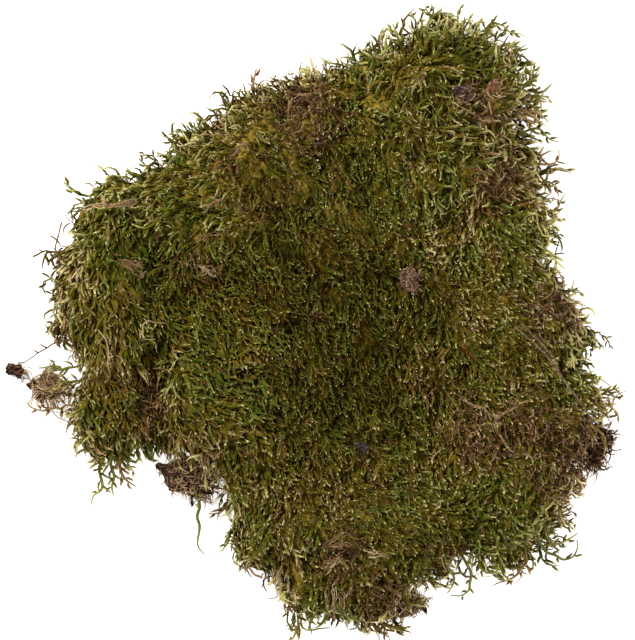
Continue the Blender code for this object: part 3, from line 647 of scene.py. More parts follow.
def old_thatch():
    """Rotting moss stems and fine soil, matted together: dull olive brown between the shoots, painted
    darker towards the middle as shade under its dense shoots, and dark soil crossed by tan stems and
    roots underneath."""
    material, tree, shader = new_material("old_thatch")
    place = add_node(tree, "ShaderNodeTexCoord").outputs["Object"]
    flecks = add_node(tree, "ShaderNodeTexNoise", {"Vector": place, "Scale": 1 / (1.4 * MM),
                                                   "Detail": 4.0}).outputs["Fac"]
    fine = ramp(tree, flecks, [(0.36, "#5c4c14"), (0.52, "#826c22"), (0.66, "#a08a48")])
    felt = ramp(tree, flecks, [(0.36, "#20140d"), (0.52, "#3c291b"), (0.66, "#5c442e")])
    for turn, light in ((10, "#80603f"), (55, "#6a4c32"), (100, "#94744e"), (145, "#745638")):
        stems = add_node(tree, "ShaderNodeTexNoise",
                         {"Vector": drawn_out(tree, place, turn, 9), "Scale": 1 / (0.8 * MM),
                          "Detail": 1.0, "Distortion": 0.6}).outputs["Fac"]
        stems = ramp(tree, stems, [(0.60, "#000000"), (0.68, light)])
        felt = mixed(tree, 1.0, felt, stems, "LIGHTEN")
    # Painted shade: the bed darkens towards the dense middle.
    away = add_node(tree, "ShaderNodeVectorMath", {0: place, 1: SHADED_MIDDLE},
                    operation="DISTANCE").outputs[1]
    middle_shade = ramp(tree, rescaled(tree, away, 30 * MM, 58 * MM), [(0.0, "#989078"), (1.0, "#ffffff")])
    height = add_node(tree, "ShaderNodeSeparateXYZ", {0: place}).outputs[2]
    colour = mixed(tree, rescaled(tree, height, 1.6 * MM, 3.0 * MM), felt,
                   mixed(tree, 1.0, fine, middle_shade, "MULTIPLY"))
    bump = add_node(tree, "ShaderNodeBump", {"Height": flecks, "Distance": 0.6 * MM})
    fill(tree, shader, {"Base Color": colour, "Normal": bump.outputs[0], "Roughness": 0.95,
                        "Specular IOR Level": 0.0})
    return material


def white_acrylic(colour):
    """The table: a pale, matt acrylic sheet, lit from below so that it's nearly white."""
    material, tree, shader = new_material("white_acrylic_table")
    fill(tree, shader, {"Base Color": (*colour, 1.0), "Roughness": 0.9,
                        "Specular IOR Level": 0.1, "Emission Color": (1.0, 1.0, 1.0, 1.0),
                        "Emission Strength": TABLE_GLOW})
    return material


# ---- mesh helpers ----
def add_object(name, mesh):
    """A mesh as an object in the scene."""
    obj = bpy.data.objects.new(name, mesh)
    bpy.context.scene.collection.objects.link(obj)
    return obj


def new_mesh(bm, name):
    """What a bmesh holds, as a mesh. The bmesh goes."""
    mesh = bpy.data.meshes.new(name)
    bm.to_mesh(mesh)
    bm.free()
    return mesh


def plain_mesh(obj, name):
    """The object's evaluated mesh as a new object with no modifiers. The old object goes."""
    graph = bpy.context.evaluated_depsgraph_get()
    mesh = bpy.data.meshes.new_from_object(obj.evaluated_get(graph))
    bpy.data.objects.remove(obj)
    mesh.name = name
    return add_object(name, mesh)


def merged_copy(node):
    """A CAD node's mesh with its loose triangles joined, as a bmesh in metres."""
    bm = bmesh.new()
    bm.from_mesh(frame["nodes"][node].data)
    bmesh.ops.remove_doubles(bm, verts=bm.verts, dist=1e-6)
    return bm


def vertex_arrays(mesh):
    """Places and normals of a mesh's vertices, as two arrays."""
    places = np.empty(len(mesh.vertices) * 3, np.float32)
    normals = np.empty(len(mesh.vertices) * 3, np.float32)
    mesh.vertices.foreach_get("co", places)
    mesh.vertex_normals.foreach_get("vector", normals)
    return places.reshape(-1, 3).astype(float), normals.reshape(-1, 3).astype(float)


def move_vertices(mesh, places):
    """Puts a mesh's vertices at these places, in metres."""
    mesh.vertices.foreach_set("co", places.astype(np.float32).ravel())
    mesh.update()


def store(mesh, name, values):
    """Keeps a number or a vector for each vertex."""
    kind = "FLOAT_VECTOR" if values.ndim == 2 else "FLOAT"
    layer = mesh.attributes.new(name, kind, "POINT")
    layer.data.foreach_set("vector" if values.ndim == 2 else "value",
                           values.astype(np.float32).ravel())


def drop_fields(mesh):
    """Takes away what the shoots have read from a bed."""
    for name in FIELDS:
        mesh.attributes.remove(mesh.attributes[name])


def unit(vectors):
    """Vectors brought to a length of 1."""
    return vectors / np.maximum(np.linalg.norm(vectors, axis=-1, keepdims=True), 1e-9)


def noise_at(places, scale, offset):
    """Smooth noise from -1 to 1 at each place, in millimetres, with hills about a scale wide."""
    return np.array([noise.noise(Vector(p) / scale + Vector((offset, 0, 0))) for p in places])


def steepness(normals, start):
    """From 0 where a surface's normal is more upright than a start, to 1 where it's steep."""
    return np.clip((start - normals[:, 2]) / 0.5, 0, 1)


def keep_off_table(bm):
    """Lifts what would reach through the table on to it."""
    for vert in bm.verts:
        vert.co.z = max(vert.co.z, TABLE_GAP)


def settle(piece, node=None, material=None):
    """Makes an object a piece of the clump, standing for a CAD node where one is given."""
    if material:
        piece.data.materials.clear()
        piece.data.materials.append(material)
    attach(piece, "root")
    if node:
        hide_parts(node)


# ---- the bed that the shoots grow from ----
BED_VOXEL = 1.9
BED_SINK = 2.6            # how far under the finished surface the bed lies
RIM_SINK = 5.8            # the same at the torn edge
RIM_RELIEF = 2.6          # how far the torn edge runs in and out
TUFT_RELIEF = 2.4         # how far the tufts rise and fall
UNDERSIDE = -0.5          # a face whose normal's z is under this looks down
SOLE = 0.9                # how high the bed's underside is above the table
COMB_BLEND = 30.0         # how softly one spot's lie goes over into the next one's, in mm2
REGION_BLEND = 1200.0     # the same for the regions' strays
FLAT_TILT = math.radians(78)   # how far over a shoot leans that lies flat
RIM_SHORTER = 0.28        # how much shorter the shoots are at the torn edge


def evened(obj, name, voxel, smoothing=3):
    """The object remeshed into small, even faces, smoothed that many times, as a new object."""
    even = obj.modifiers.new("even faces", "REMESH")
    even.mode = "VOXEL"
    even.voxel_size = voxel * MM
    if smoothing:
        smooth = obj.modifiers.new("smooth", "SMOOTH")
        smooth.factor = 0.5
        smooth.iterations = smoothing
    return plain_mesh(obj, name)


def keep_largest(obj):
    """Takes away what has been cut off from an object's largest part."""
    bm = bmesh.new()
    bm.from_mesh(obj.data)
    left = set(bm.verts)
    largest = {}
    while left:
        island, _ = walk_along(next(iter(left)))
        left -= island.keys()
        if len(island) > len(largest):
            largest = island
    bmesh.ops.delete(bm, geom=[vert for vert in bm.verts if vert not in largest], context="VERTS")
    bm.to_mesh(obj.data)
    bm.free()


def build_bed():
    """The carpet's solid, evened out and sunk, with the worn gaps open."""
    rough = add_object("moss_bed_rough", new_mesh(merged_copy("moss_carpet"), "moss_bed"))
    bed = evened(rough, "moss_bed_sunk", BED_VOXEL)
    places, normals = vertex_arrays(bed.data)
    places /= MM
    for x, y, radius, heading, shift in EDGE.values():
        away = np.hypot(places[:, 0] - x, places[:, 1] - y) / radius
        way = (math.cos(math.radians(heading)), math.sin(math.radians(heading)))
        places[:, :2] += np.outer(shift * np.exp(-away ** 2), way)
    wall = steepness(normals, 0.75)
    sink = BED_SINK + (RIM_SINK - BED_SINK) * wall
    sink[normals[:, 2] < UNDERSIDE] = 0.0
    tufts = TUFT_RELIEF * (noise_at(places, 10.0, 5.1) + 0.6 * noise_at(places, 4.5, 9.3))
    sink -= np.where(normals[:, 2] > 0, tufts, 0.0)
    ragged = noise_at(places * (1, 1, 0.3), 6.0, 1.4)
    sink += RIM_RELIEF * wall * (normals[:, 2] > UNDERSIDE) * ragged
    places -= normals * sink[:, None]
    places[:, 2] = np.maximum(places[:, 2], SOLE + 0.4 * noise_at(places, 12.0, 8.8))
    move_vertices(bed.data, places * MM)
    bed = evened(bed, "moss_bed", BED_VOXEL)
    keep_largest(bed)
    return bed


def stray_at(places):
    """How far the shoots stray from their patch's lie, blended from one region to the next."""
    middles = np.array([region[:2] for region in REGIONS.values()], float)
    strays = np.array([region[3] for region in REGIONS.values()], float)
    away = ((places[:, None, :2] - middles[None]) ** 2).sum(-1)
    weight = np.exp(-(away - away.min(1, keepdims=True)) / REGION_BLEND)
    return (weight @ strays) / weight.sum(1)


def comb_fields(places, normals):
    """How the shoots lie at each place: heading, growing direction and length."""
    anchors = np.array(list(COMB.values()), float)
    away = ((places[:, None, :2] - anchors[None, :, :2]) ** 2).sum(-1)
    weight = 1.0 / (away + COMB_BLEND) ** 2
    weight /= weight.sum(1, keepdims=True)
    turn = np.radians(anchors[:, 2])
    heading = weight @ np.stack([np.cos(turn), np.sin(turn)], 1)
    lean = weight @ anchors[:, 3]
    size = weight @ anchors[:, 4]
    angle = np.arctan2(heading[:, 1], heading[:, 0])
    angle += stray_at(places) * (noise_at(places, 9.0, 3.1) + noise_at(places, 4.0, 8.7))
    # Near the torn edge the shoots turn outwards with the slope, and are shorter.
    steep = steepness(normals, 0.62)[:, None]
    outward = unit(normals[:, :2])
    flat = unit(np.stack([np.cos(angle), np.sin(angle)], 1) + outward * steep * 0.8)
    size *= 1 - RIM_SHORTER * steep[:, 0]
    comb = np.concatenate([flat, np.zeros((len(flat), 1))], 1)
    comb = unit(comb - normals * (comb * normals).sum(1, keepdims=True))
    lean = lean + 0.18 * noise_at(places, 6.0, 5.5)
    lean = np.clip(lean * (1 - 0.5 * steep[:, 0]), 0.05, 0.97)
    tilt = lean * FLAT_TILT
    grow = unit(normals * np.cos(tilt)[:, None] + comb * np.sin(tilt)[:, None])
    return comb, grow, size


def patched(places, start, table, column, pull):
    """A field that starts at a value and is drawn towards that of each patch near its middle."""
    field = np.full(len(places), float(start))
    for patch in table.values():
        away = np.hypot(places[:, 0] - patch[0], places[:, 1] - patch[1]) / patch[2]
        field += (patch[column] - field) * pull * np.exp(-(away ** 2) * 1.1)
    return field


def colour_fields(places, normals):
    """Mean tint, share of dead moss and brightness of the tips at each place, the last partly painted
    light and shade.
    """
    mottle = noise_at(places, 8.0, 1.7)
    tint = patched(places, MEAN_TINT, PATCHES, PATCH_TINT, TINT_PULL)
    tint += 0.26 * mottle + 0.20 * noise_at(places, 4.2, 6.6) + 0.16 * noise_at(places, 13.0, 2.9)
    dead = patched(places, MEAN_DEAD, PATCHES, PATCH_DEAD, PULL)
    dead += 0.35 * np.clip(noise_at(places, 6.0, 4.4) - 0.15, 0, 1)
    vigour = patched(places, MEAN_VIGOUR_AND_PAINTED_LIGHT, VIGOUR_AND_PAINTED_LIGHT, 3, PULL)
    vigour += 0.42 * noise_at(places, 9.0, 7.9) + 0.20 * noise_at(places, 18.0, 0.4)
    # The torn edge is drier, its tint drawn towards tan; its shoots are painted brighter at foot and
    # tip, painted light for the light that shines through the thin edge.
    rim = steepness(normals, 0.75) * (normals[:, 2] > RIM_UNDERSIDE)
    tint += (0.56 - tint) * 0.5 * rim
    vigour += (1.6 - vigour) * 0.85 * rim
    return tint, dead, np.clip(vigour, 0.4, 1.7)


def mark_bed(bed):
    """Keeps on the bed's vertices what the scattered shoots read."""
    places, normals = vertex_arrays(bed.data)
    places /= MM
    comb, grow, size = comb_fields(places, normals)
    tint, dead, vigour = colour_fields(places, normals)
    tufts = 0.5 + 0.5 * noise_at(places, 4.5, 2.2)
    # The torn edge is thin, with gaps between its shoots.
    gaps = np.clip(1 + 1.8 * noise_at(places * (1, 1, 0.3), 4.0, 7.2), 0.1, 2)
    thick = (0.5 + tufts) * (1 + (0.40 * gaps - 1) * steepness(normals, 0.8))
    values = (comb, grow, size * (0.60 + 0.8 * tufts), tint, dead, vigour, thick)
    for name, value in zip(FIELDS, values):
        store(bed.data, name, value)


def bed_part(bed, name, keep):
    """A copy of the bed with only the faces whose middle and normal pass a test."""
    bm = bmesh.new()
    bm.from_mesh(bed.data)
    gone = [face for face in bm.faces if not keep(face)]
    bmesh.ops.delete(bm, geom=gone, context="FACES")
    return add_object(name + "_emitter", new_mesh(bm, name))


# ---- shoots ----
GOLDEN_TURN = math.radians(137.5)   # from one leaf on a shoot to the next
STUB_SPLAY = 0.7          # how far the stubs of leaves stand off an old stem
LEAF_FOLD = 0.28          # how far a leaf's margins fold back from its keel, against its width
STRIP = 1 / 96            # width of one shoot's strip of colour on the map


def add_leaf(bm, layer, root, heading, outward, length, width, tint, low, high):
    """One keeled leaf with four faces: the keel runs along its back from its root to its point."""
    side = heading.cross(outward).normalized()
    out = side.cross(heading)
    belly = root + heading * (0.40 * length) - out * (LEAF_FOLD * width)
    # The point and the margins sit higher on the palette than the root: paler, partly as a painted
    # highlight along the leaf's margins.
    corners = {"root": (root, tint, low),
               "left": (belly - side * (0.5 * width), tint - STRIP / 2, 0.4 * low + 0.6 * high),
               "right": (belly + side * (0.5 * width), tint + STRIP / 2, 0.4 * low + 0.6 * high),
               "point": (root + heading * length, tint, high)}
    verts = {name: bm.verts.new(corner[0]) for name, corner in corners.items()}
    for names in (("root", "point", "left"), ("root", "right", "point"),
                  ("left", "point", "right"), ("left", "right", "root")):
        face = bm.faces.new([verts[name] for name in names])
        for loop, name in zip(face.loops, names):
            loop[layer].uv = corners[name][1:]


def clothe(bm, layer, line, leaves, leaf_length, leaf_width, splay, start, tint, rng):
    """Leaves all round a line in a spiral: open at its foot, closing to a bud at its tip."""
    last = len(line) - 1
    for number in range(leaves):
        along = start + (1 - start) * number / (leaves - 1) if leaves > 1 else start
        place = min(along * last, last - 1e-4)
        span = int(place)
        root = line[span].lerp(line[span + 1], place - span)
        tangent = (line[span + 1] - line[span]).normalized()
        side = tangent.orthogonal().normalized()
        turn = Matrix.Rotation(GOLDEN_TURN * number + rng.uniform(-0.3, 0.3), 3, tangent)
        outward = turn @ side
        open_angle = splay * (1.0 - 0.75 * along ** 2) * rng.uniform(0.7, 1.3)
        heading = tangent * math.cos(open_angle) + outward * math.sin(open_angle)
        size = (1.0 - 0.35 * along ** 3) * rng.uniform(0.85, 1.15)
        root = root - tangent * (0.45 * leaf_length * along)
        add_leaf(bm, layer, root, heading, outward, leaf_length * size, leaf_width * size, tint,
                 0.8 * along, 0.25 + 0.75 * along)


def bent_line(length, bend, wave, steps, rng):
    """The centre line of a shoot that rises along +Z and bends over towards +X."""
    point = Vector()
    line = [point.copy()]
    phase = rng.uniform(0, math.tau)
    for i in range(steps):
        along = (i + 0.5) / steps
        angle = bend * along ** 1.2
        sway = wave * math.sin(phase + along * 5.0)
        point += Vector((math.sin(angle), sway, math.cos(angle))).normalized() * (length / steps)
        line.append(point.copy())
    return line


def add_horn(bm, layer, line, girth, sides, leaves, leaf, splay, bare, tint, rng):
    """One shoot along a line: a horn with leaves round it."""
    add_tube(bm, layer, line, 0.55 * girth, 0.25 * girth, sides, tint, high=0.9, swell=0.6 * girth)
    clothe(bm, layer, line, leaves, *leaf, splay, bare, tint, rng)


def add_side_shoots(bm, layer, stem, count, size, leaf, up, tint, rng, floor=-math.inf):
    """Short shoots to both sides of a stem, turned towards its tip, as on a feather. Up stands off
    the feather's plane. None goes under the floor."""
    for number in range(count):
        along = 0.18 + 0.66 * (number + rng.uniform(-0.2, 0.2)) / count
        place = along * (len(stem) - 1)
        span = int(place)
        root = stem[span].lerp(stem[span + 1], place - span)
        forward = (stem[span + 1] - stem[span]).normalized()
        side = forward.cross(up).normalized() * (-1) ** number
        side = Matrix.Rotation(rng.uniform(-0.6, 0.6), 3, forward) @ side
        length = SIDE_SHOOT["length"] * size * (1.1 - 0.7 * along) * rng.uniform(0.7, 1.2)
        angle = SIDE_SHOOT["angle"] * rng.uniform(0.8, 1.2)
        turned = angle * rng.uniform(0.0, 0.9)
        middle = root + (forward * math.cos(angle) + side * math.sin(angle)) * (0.5 * length)
        tip = middle + (forward * math.cos(turned) + side * math.sin(turned)) * (0.5 * length)
        line = [root, root.lerp(middle, 0.7), middle.lerp(tip, 0.4), tip]
        line = [Vector((*point.xy, max(point.z, floor))) for point in line]
        add_horn(bm, layer, line, SIDE_SHOOT["girth"] * size, 3, SIDE_SHOOT["leaves"], leaf, 0.4,
                 0.45, tint, rng)


def add_kind(kinds, bm):
    """Adds what a bmesh holds to a collection of kinds. The bmesh goes."""
    bmesh.ops.recalc_face_normals(bm, faces=bm.faces)
    mesh = new_mesh(bm, f"{kinds.name}_{len(kinds.objects)}")
    kinds.objects.link(bpy.data.objects.new(mesh.name, mesh))


def shoot_kinds(name, sort, seed):
    """A collection of like shoots that differ a little, for the scatter to pick from."""
    rng = random.Random(seed)
    kinds = bpy.data.collections.new(name)
    for number in range(KINDS):
        bm = bmesh.new()
        layer = bm.loops.layers.uv.new("blade")
        size = MM * (STOUT_SIZE if number < STOUT_SHARE * KINDS else 1.0)
        line = bent_line(sort.length * rng.uniform(0.8, 1.2) * size, rng.uniform(*sort.bend),
                         sort.wave * rng.uniform(0.4, 1), sort.rings + 1, rng)
        leaf = [part * size for part in sort.leaf]
        add_horn(bm, layer, line, sort.girth * size, SHOOT_SIDES, sort.leaves, leaf, sort.splay,
                 sort.bare, 0.5, rng)
        add_side_shoots(bm, layer, line, sort.side_shoots, size, leaf, Vector((1, 0, -1)), 0.5, rng)
        add_kind(kinds, bm)
    return kinds


def scatter_tree():
    """Shoots on a bed: spots by density, each turned by the comb and tinted by its patch."""
    tree = bpy.data.node_groups.new("scatter_shoots", "GeometryNodeTree")
    for name, kind, default in (
            ("Geometry", "NodeSocketGeometry", None), ("Shoots", "NodeSocketCollection", None),
            ("Density", "NodeSocketFloat", 100000.0), ("Spread", "NodeSocketFloat", 0.3),
            ("Length Spread", "NodeSocketFloat", 0.2), ("Tint Spread", "NodeSocketFloat", 0.1),
            ("Lift", "NodeSocketFloat", 0.0), ("Material", "NodeSocketMaterial", None),
            ("Seed", "NodeSocketInt", 1)):
        socket = tree.interface.new_socket(name, in_out="INPUT", socket_type=kind)
        if default is not None:
            socket.default_value = default
    tree.interface.new_socket("Geometry", in_out="OUTPUT", socket_type="NodeSocketGeometry")
    given = add_node(tree, "NodeGroupInput").outputs

    def field(name, kind="FLOAT"):
        return add_node(tree, "GeometryNodeInputNamedAttribute", {"Name": name},
                        data_type=kind).outputs["Attribute"]

    def chance(offset, kind="FLOAT", low=0.0, high=1.0):
        seed = add_node(tree, "ShaderNodeMath", {0: given["Seed"], 1: float(offset)})
        first, out = (0, 0) if kind == "FLOAT_VECTOR" else (2, 1)
        if kind == "FLOAT_VECTOR":
            low, high = (low,) * 3, (high,) * 3
        return add_node(tree, "FunctionNodeRandomValue",
                        {first: low, first + 1: high, "Seed": seed.outputs[0]},
                        data_type=kind).outputs[out]

    def scaled(vector, scale):
        return add_node(tree, "ShaderNodeVectorMath", {0: vector, "Scale": scale},
                        operation="SCALE").outputs[0]

    def shaken(name, offset):
        shake = scaled(chance(offset, "FLOAT_VECTOR", -1.0, 1.0), given["Spread"])
        return add_node(tree, "ShaderNodeVectorMath",
                        {0: field(name, "FLOAT_VECTOR"), 1: shake}).outputs[0]

    def stored(geometry, name, value, **settings):
        return add_node(tree, "GeometryNodeStoreNamedAttribute",
                        {"Geometry": geometry, "Name": name, "Value": value}, **settings).outputs[0]

    def maths(operation, a, b):
        return add_node(tree, "ShaderNodeMath", {0: a, 1: b}, operation=operation).outputs[0]

    spots = add_node(tree, "GeometryNodeDistributePointsOnFaces",
                     {"Mesh": given["Geometry"], "Seed": given["Seed"],
                      "Density": maths("MULTIPLY", given["Density"], field("thick"))})
    # A living shoot's tint is its patch's, give or take. A dead one's is near the palette's end.
    wander = maths("MULTIPLY", given["Tint Spread"],
                   maths("ADD", chance(3, low=-1.0), chance(4, low=-1.0)))
    living = add_node(tree, "ShaderNodeClamp", {0: maths("ADD", field("tint"), wander),
                                                1: LIVING_TINTS[0],
                                                2: LIVING_TINTS[1]}).outputs[0]
    is_dead = maths("LESS_THAN", chance(5), field("dead"))
    tint = add_node(tree, "ShaderNodeMix",
                    {0: is_dead, 2: living, 3: chance(6, "FLOAT", *DEAD_TINTS)})
    tinted = stored(spots.outputs["Points"], "tint", tint.outputs[0])
    index = add_node(tree, "GeometryNodeInputIndex").outputs[0]
    numbered = stored(tinted, "shoot", index, data_type="INT")
    rise = scaled(field("grow", "FLOAT_VECTOR"), maths("MULTIPLY", given["Lift"], chance(8)))
    raised = add_node(tree, "GeometryNodeSetPosition", {"Geometry": numbered, "Offset": rise})
    kinds = add_node(tree, "GeometryNodeCollectionInfo",
                     {"Collection": given["Shoots"], "Separate Children": True,
                      "Reset Children": True})
    turn = add_node(tree, "FunctionNodeAxesToRotation",
                    {0: shaken("grow", 1), 1: shaken("comb", 2)},
                    primary_axis="Z", secondary_axis="X")
    size = maths("MULTIPLY", field("tall"),
                 maths("ADD", 1.0, maths("MULTIPLY", given["Length Spread"], chance(7, low=-1.0))))
    pick = add_node(tree, "FunctionNodeRandomValue", {4: 0, 5: 999, "Seed": 11}, data_type="INT")
    placed = add_node(tree, "GeometryNodeInstanceOnPoints",
                      {"Points": raised.outputs[0], "Instance": kinds.outputs[0],
                       "Pick Instance": True, "Instance Index": pick.outputs[2],
                       "Rotation": turn.outputs[0], "Scale": size})
    real = add_node(tree, "GeometryNodeRealizeInstances", {"Geometry": placed.outputs[0]})
    blade = add_node(tree, "ShaderNodeSeparateXYZ", {0: field("blade", "FLOAT_VECTOR")})
    across = maths("ADD", field("tint"), maths("SUBTRACT", blade.outputs[0], 0.5))
    # The lower a place's brightness, the nearer to a shoot's tip its bright part begins and the
    # darker its foot: painted shade at the foot, where the shoots shade each other, and a painted
    # highlight at the tip.
    bright = maths("POWER", blade.outputs[1], maths("POWER", field("vigour"), -2.0))
    light_over_dull = maths("MAXIMUM", maths("SUBTRACT", field("vigour"), 0.55), 0.0)
    foot = maths("MULTIPLY", maths("MULTIPLY", light_over_dull, light_over_dull), 0.6)
    bright = maths("ADD", foot, maths("MULTIPLY", bright, maths("SUBTRACT", 1.0, foot)))
    spot = add_node(tree, "ShaderNodeCombineXYZ", {0: across, 1: bright})
    mapped = stored(real.outputs[0], BAKE_MAP, spot.outputs[0], data_type="FLOAT2",
                    domain="CORNER")
    for name in ("blade", *FIELDS):
        mapped = add_node(tree, "GeometryNodeRemoveAttribute",
                          {"Geometry": mapped, "Name": name}).outputs[0]
    coated = add_node(tree, "GeometryNodeSetMaterial",
                      {"Geometry": mapped, "Material": given["Material"]})
    add_node(tree, "NodeGroupOutput", {"Geometry": coated.outputs[0]})
    return tree


def scatter(emitter, name, tree, **inputs):
    """Grows shoots on an emitter and gives them as a plain mesh. The emitter goes."""
    grown = emitter.modifiers.new("shoots", "NODES")
    grown.node_group = tree
    for socket in tree.interface.items_tree:
        key = socket.name.lower().replace(" ", "_")
        if socket.in_out == "INPUT" and key in inputs:
            grown[socket.identifier] = inputs[key]
    piece = plain_mesh(emitter, name)
    # A shoot that would reach through the table lies on it.
    places, _ = vertex_arrays(piece.data)
    shoot = np.empty(len(places), np.int32)
    piece.data.attributes["shoot"].data.foreach_get("value", shoot)
    lowest = np.full(shoot.max() + 1, math.inf)
    np.minimum.at(lowest, shoot, places[:, 2])
    places[:, 2] += np.maximum(TABLE_GAP - lowest[shoot], 0.0)
    piece.data.attributes.remove(piece.data.attributes["shoot"])
    move_vertices(piece.data, places)
    return piece


# ---- tubes and lines ----
WAVER_SEED = 7            # for the noise that strands waver with. Any number but 0 does.


def resampled(points, step):
    """A smooth curve through the points, with a point about every step."""
    last = len(points) - 1
    line = []
    for i in range(last):
        a, b, c, d = (points[max(0, min(last, i + k))] for k in (-1, 0, 1, 2))
        count = max(1, round((c - b).length / step))
        for number in range(count):
            t = number / count
            line.append(0.5 * (2 * b + (c - a) * t + (2 * a - 5 * b + 4 * c - d) * t * t
                               + (3 * b - a - 3 * c + d) * t ** 3))
    return line + [points[last].copy()]


def wavy(line, amount, length, rng):
    """The line with a gentle waver: how far it strays, and how long a wave is."""
    noise.seed_set(WAVER_SEED)
    offset = Vector((rng.uniform(0, 90), rng.uniform(0, 90), rng.uniform(0, 90)))
    return [point + amount * noise.noise_vector(point / length + offset) for point in line]


def add_tube(bm, layer, line, root_radius, tip_radius, sides, tint, flat=1.0, high=1.0, swell=0.0):
    """A closed tube along a line, pointed at both ends. Flat squeezes it from top to bottom, and
    swell makes it that much thicker in its middle."""
    last = len(line) - 1
    side = (line[1] - line[0]).orthogonal().normalized()
    if abs((line[1] - line[0]).normalized().z) < 0.9:
        side = (line[1] - line[0]).cross(Vector((0, 0, 1))).normalized()
    rings = []
    for i in range(1, last):
        tangent = (line[i + 1] - line[i - 1]).normalized()
        side = (side - tangent * side.dot(tangent)).normalized()
        lift = side.cross(tangent) * flat
        radius = root_radius + (tip_radius - root_radius) * i / last
        radius += swell * 4 * (i / last) * (1 - i / last)
        rings.append([bm.verts.new(line[i] + radius * (math.cos(math.tau * k / sides) * side
                                                       + math.sin(math.tau * k / sides) * lift))
                      for k in range(sides)])
    foot, point = bm.verts.new(line[0]), bm.verts.new(line[last])

    def add_face(verts, places):
        face = bm.faces.new(verts)
        face.smooth = True
        for loop, (across, i) in zip(face.loops, places):
            loop[layer].uv = (tint + STRIP * (across / sides - 0.5), high * i / last)

    for k in range(sides):
        after = (k + 1) % sides
        add_face((foot, rings[0][after], rings[0][k]), ((k + 0.5, 0), (k + 1, 1), (k, 1)))
        for i, (ring, following) in enumerate(zip(rings, rings[1:]), 1):
            add_face((ring[k], ring[after], following[after], following[k]),
                     ((k, i), (k + 1, i), (k + 1, i + 1), (k, i + 1)))
        add_face((rings[-1][k], rings[-1][after], point),
                 ((k, last - 1), (k + 1, last - 1), (k + 0.5, last)))


def walk_along(start):
    """How far each vertex of a mesh is from a start along the edges, and the vertex before it."""
    reach = {start: 0.0}
    before = {}
    queue = [(0.0, start.index, start)]
    while queue:
        gone, _, vert = heapq.heappop(queue)
        for edge in vert.link_edges:
            other = edge.other_vert(vert)
            length = gone + edge.calc_length()
            if length < reach.get(other, math.inf):
                reach[other] = length
                before[other] = vert
                heapq.heappush(queue, (length, other.index, other))
    return reach, before


RING_DEPTH = 1.2 * MM     # a strand's solid has its rings of corners further apart than this
RING_WIDTH = 2.6 * MM
TWIG_REACH = 1.7 * MM     # what is further than this from the main line is on a twig
TWIG_GAP = 2.2 * MM       # corners that are nearer to each other than this are on the same twig
LINE_STEP = 0.5 * MM
ON_TIPS = Vector((0, 0, 1.0 * MM))   # the tips of the shoots hold a dry strand up this far


def strand_lines(node):
    """Centre lines of a strand's solid: the main one from its rooted end, then one for each twig."""
    bm = merged_copy(node)
    bm.verts.index_update()
    reach, _ = walk_along(next(iter(bm.verts)))
    one_end = max(reach, key=reach.get)
    reach, _ = walk_along(one_end)
    other_end = max(reach, key=reach.get)
    root, vert = sorted((one_end, other_end), key=lambda end: end.co.xy.length)
    reach, before = walk_along(root)
    main = []
    while vert is not None:
        ring = [other.co for other in bm.verts if abs(reach[other] - reach[vert]) < RING_DEPTH
                and (other.co - vert.co).length < RING_WIDTH]
        middle = sum(ring, Vector()) / len(ring)
        if not main or (middle - main[-1]).length > RING_DEPTH:
            main.append(middle)
        vert = before.get(vert)
    main = resampled(main[::-1], LINE_STEP)

    def away(co):
        return min((co - point).length for point in main)

    loose = [v.co.copy() for v in bm.verts if away(v.co) > TWIG_REACH]
    bm.free()
    lines = [main]
    while loose:
        group = [loose.pop()]
        for co in group:
            near = [other for other in loose if (other - co).length < TWIG_GAP]
            group += near
            loose = [other for other in loose if other not in near]
        furthest = max(away(co) for co in group)
        outer = [co for co in group if away(co) > 0.8 * furthest]
        tip = sum(outer, Vector()) / len(outer)
        joint = min(range(len(main)), key=lambda i: (main[i] - tip).length)
        base = main[max(0, joint - round((main[joint] - tip).length / MM))]
        bow = base.lerp(tip, 0.55) + (main[joint] - base) * 0.2
        lines.append(resampled([base, bow, tip], LINE_STEP))
    return lines


def finish_strand(bm, name, material, node):
    """Turns a bmesh into a piece of the clump that stands for a strand's CAD node."""
    bmesh.ops.recalc_face_normals(bm, faces=bm.faces)
    settle(add_object(name, new_mesh(bm, name)), node, material)


def build_sprig(node, material):
    """A leafy sprig: a stem with leaves all round it and side shoots, and a shorter one on each
    twig."""
    tint, girth, leaf_length, leaf_width, splay, gap, side_shoots = SPRIGS[node]
    rng = random.Random(node)
    bm = bmesh.new()
    layer = bm.loops.layers.uv.new(BAKE_MAP)
    for number, line in enumerate(strand_lines(node)):
        size = (1.0 if number == 0 else 0.8) * MM
        floor = 1.1 * girth * size
        line = wavy(line, 0.5 * MM, 5 * MM, rng)
        line = [Vector((*point.xy, max(point.z, floor))) for point in line]
        leaf = (leaf_length * size, leaf_width * size)
        stem = line[::2] + line[-1:]
        leaves = max(3, round(0.5 * len(line) / gap))
        add_horn(bm, layer, stem, girth * size, 4, leaves, leaf, splay, 0.05, tint, rng)
        if number == 0:
            add_side_shoots(bm, layer, stem, side_shoots, 1.45 * size, leaf, Vector((0, 0, 1)), tint,
                            rng, floor)
    keep_off_table(bm)
    # The colours are raised up the palette: painted light through the sprig.
    low, high = SPRIG_SHADE
    for face in bm.faces:
        for loop in face.loops:
            loop[layer].uv.y = low + (high - low) * loop[layer].uv.y
    finish_strand(bm, node + "_leafy", material, node)


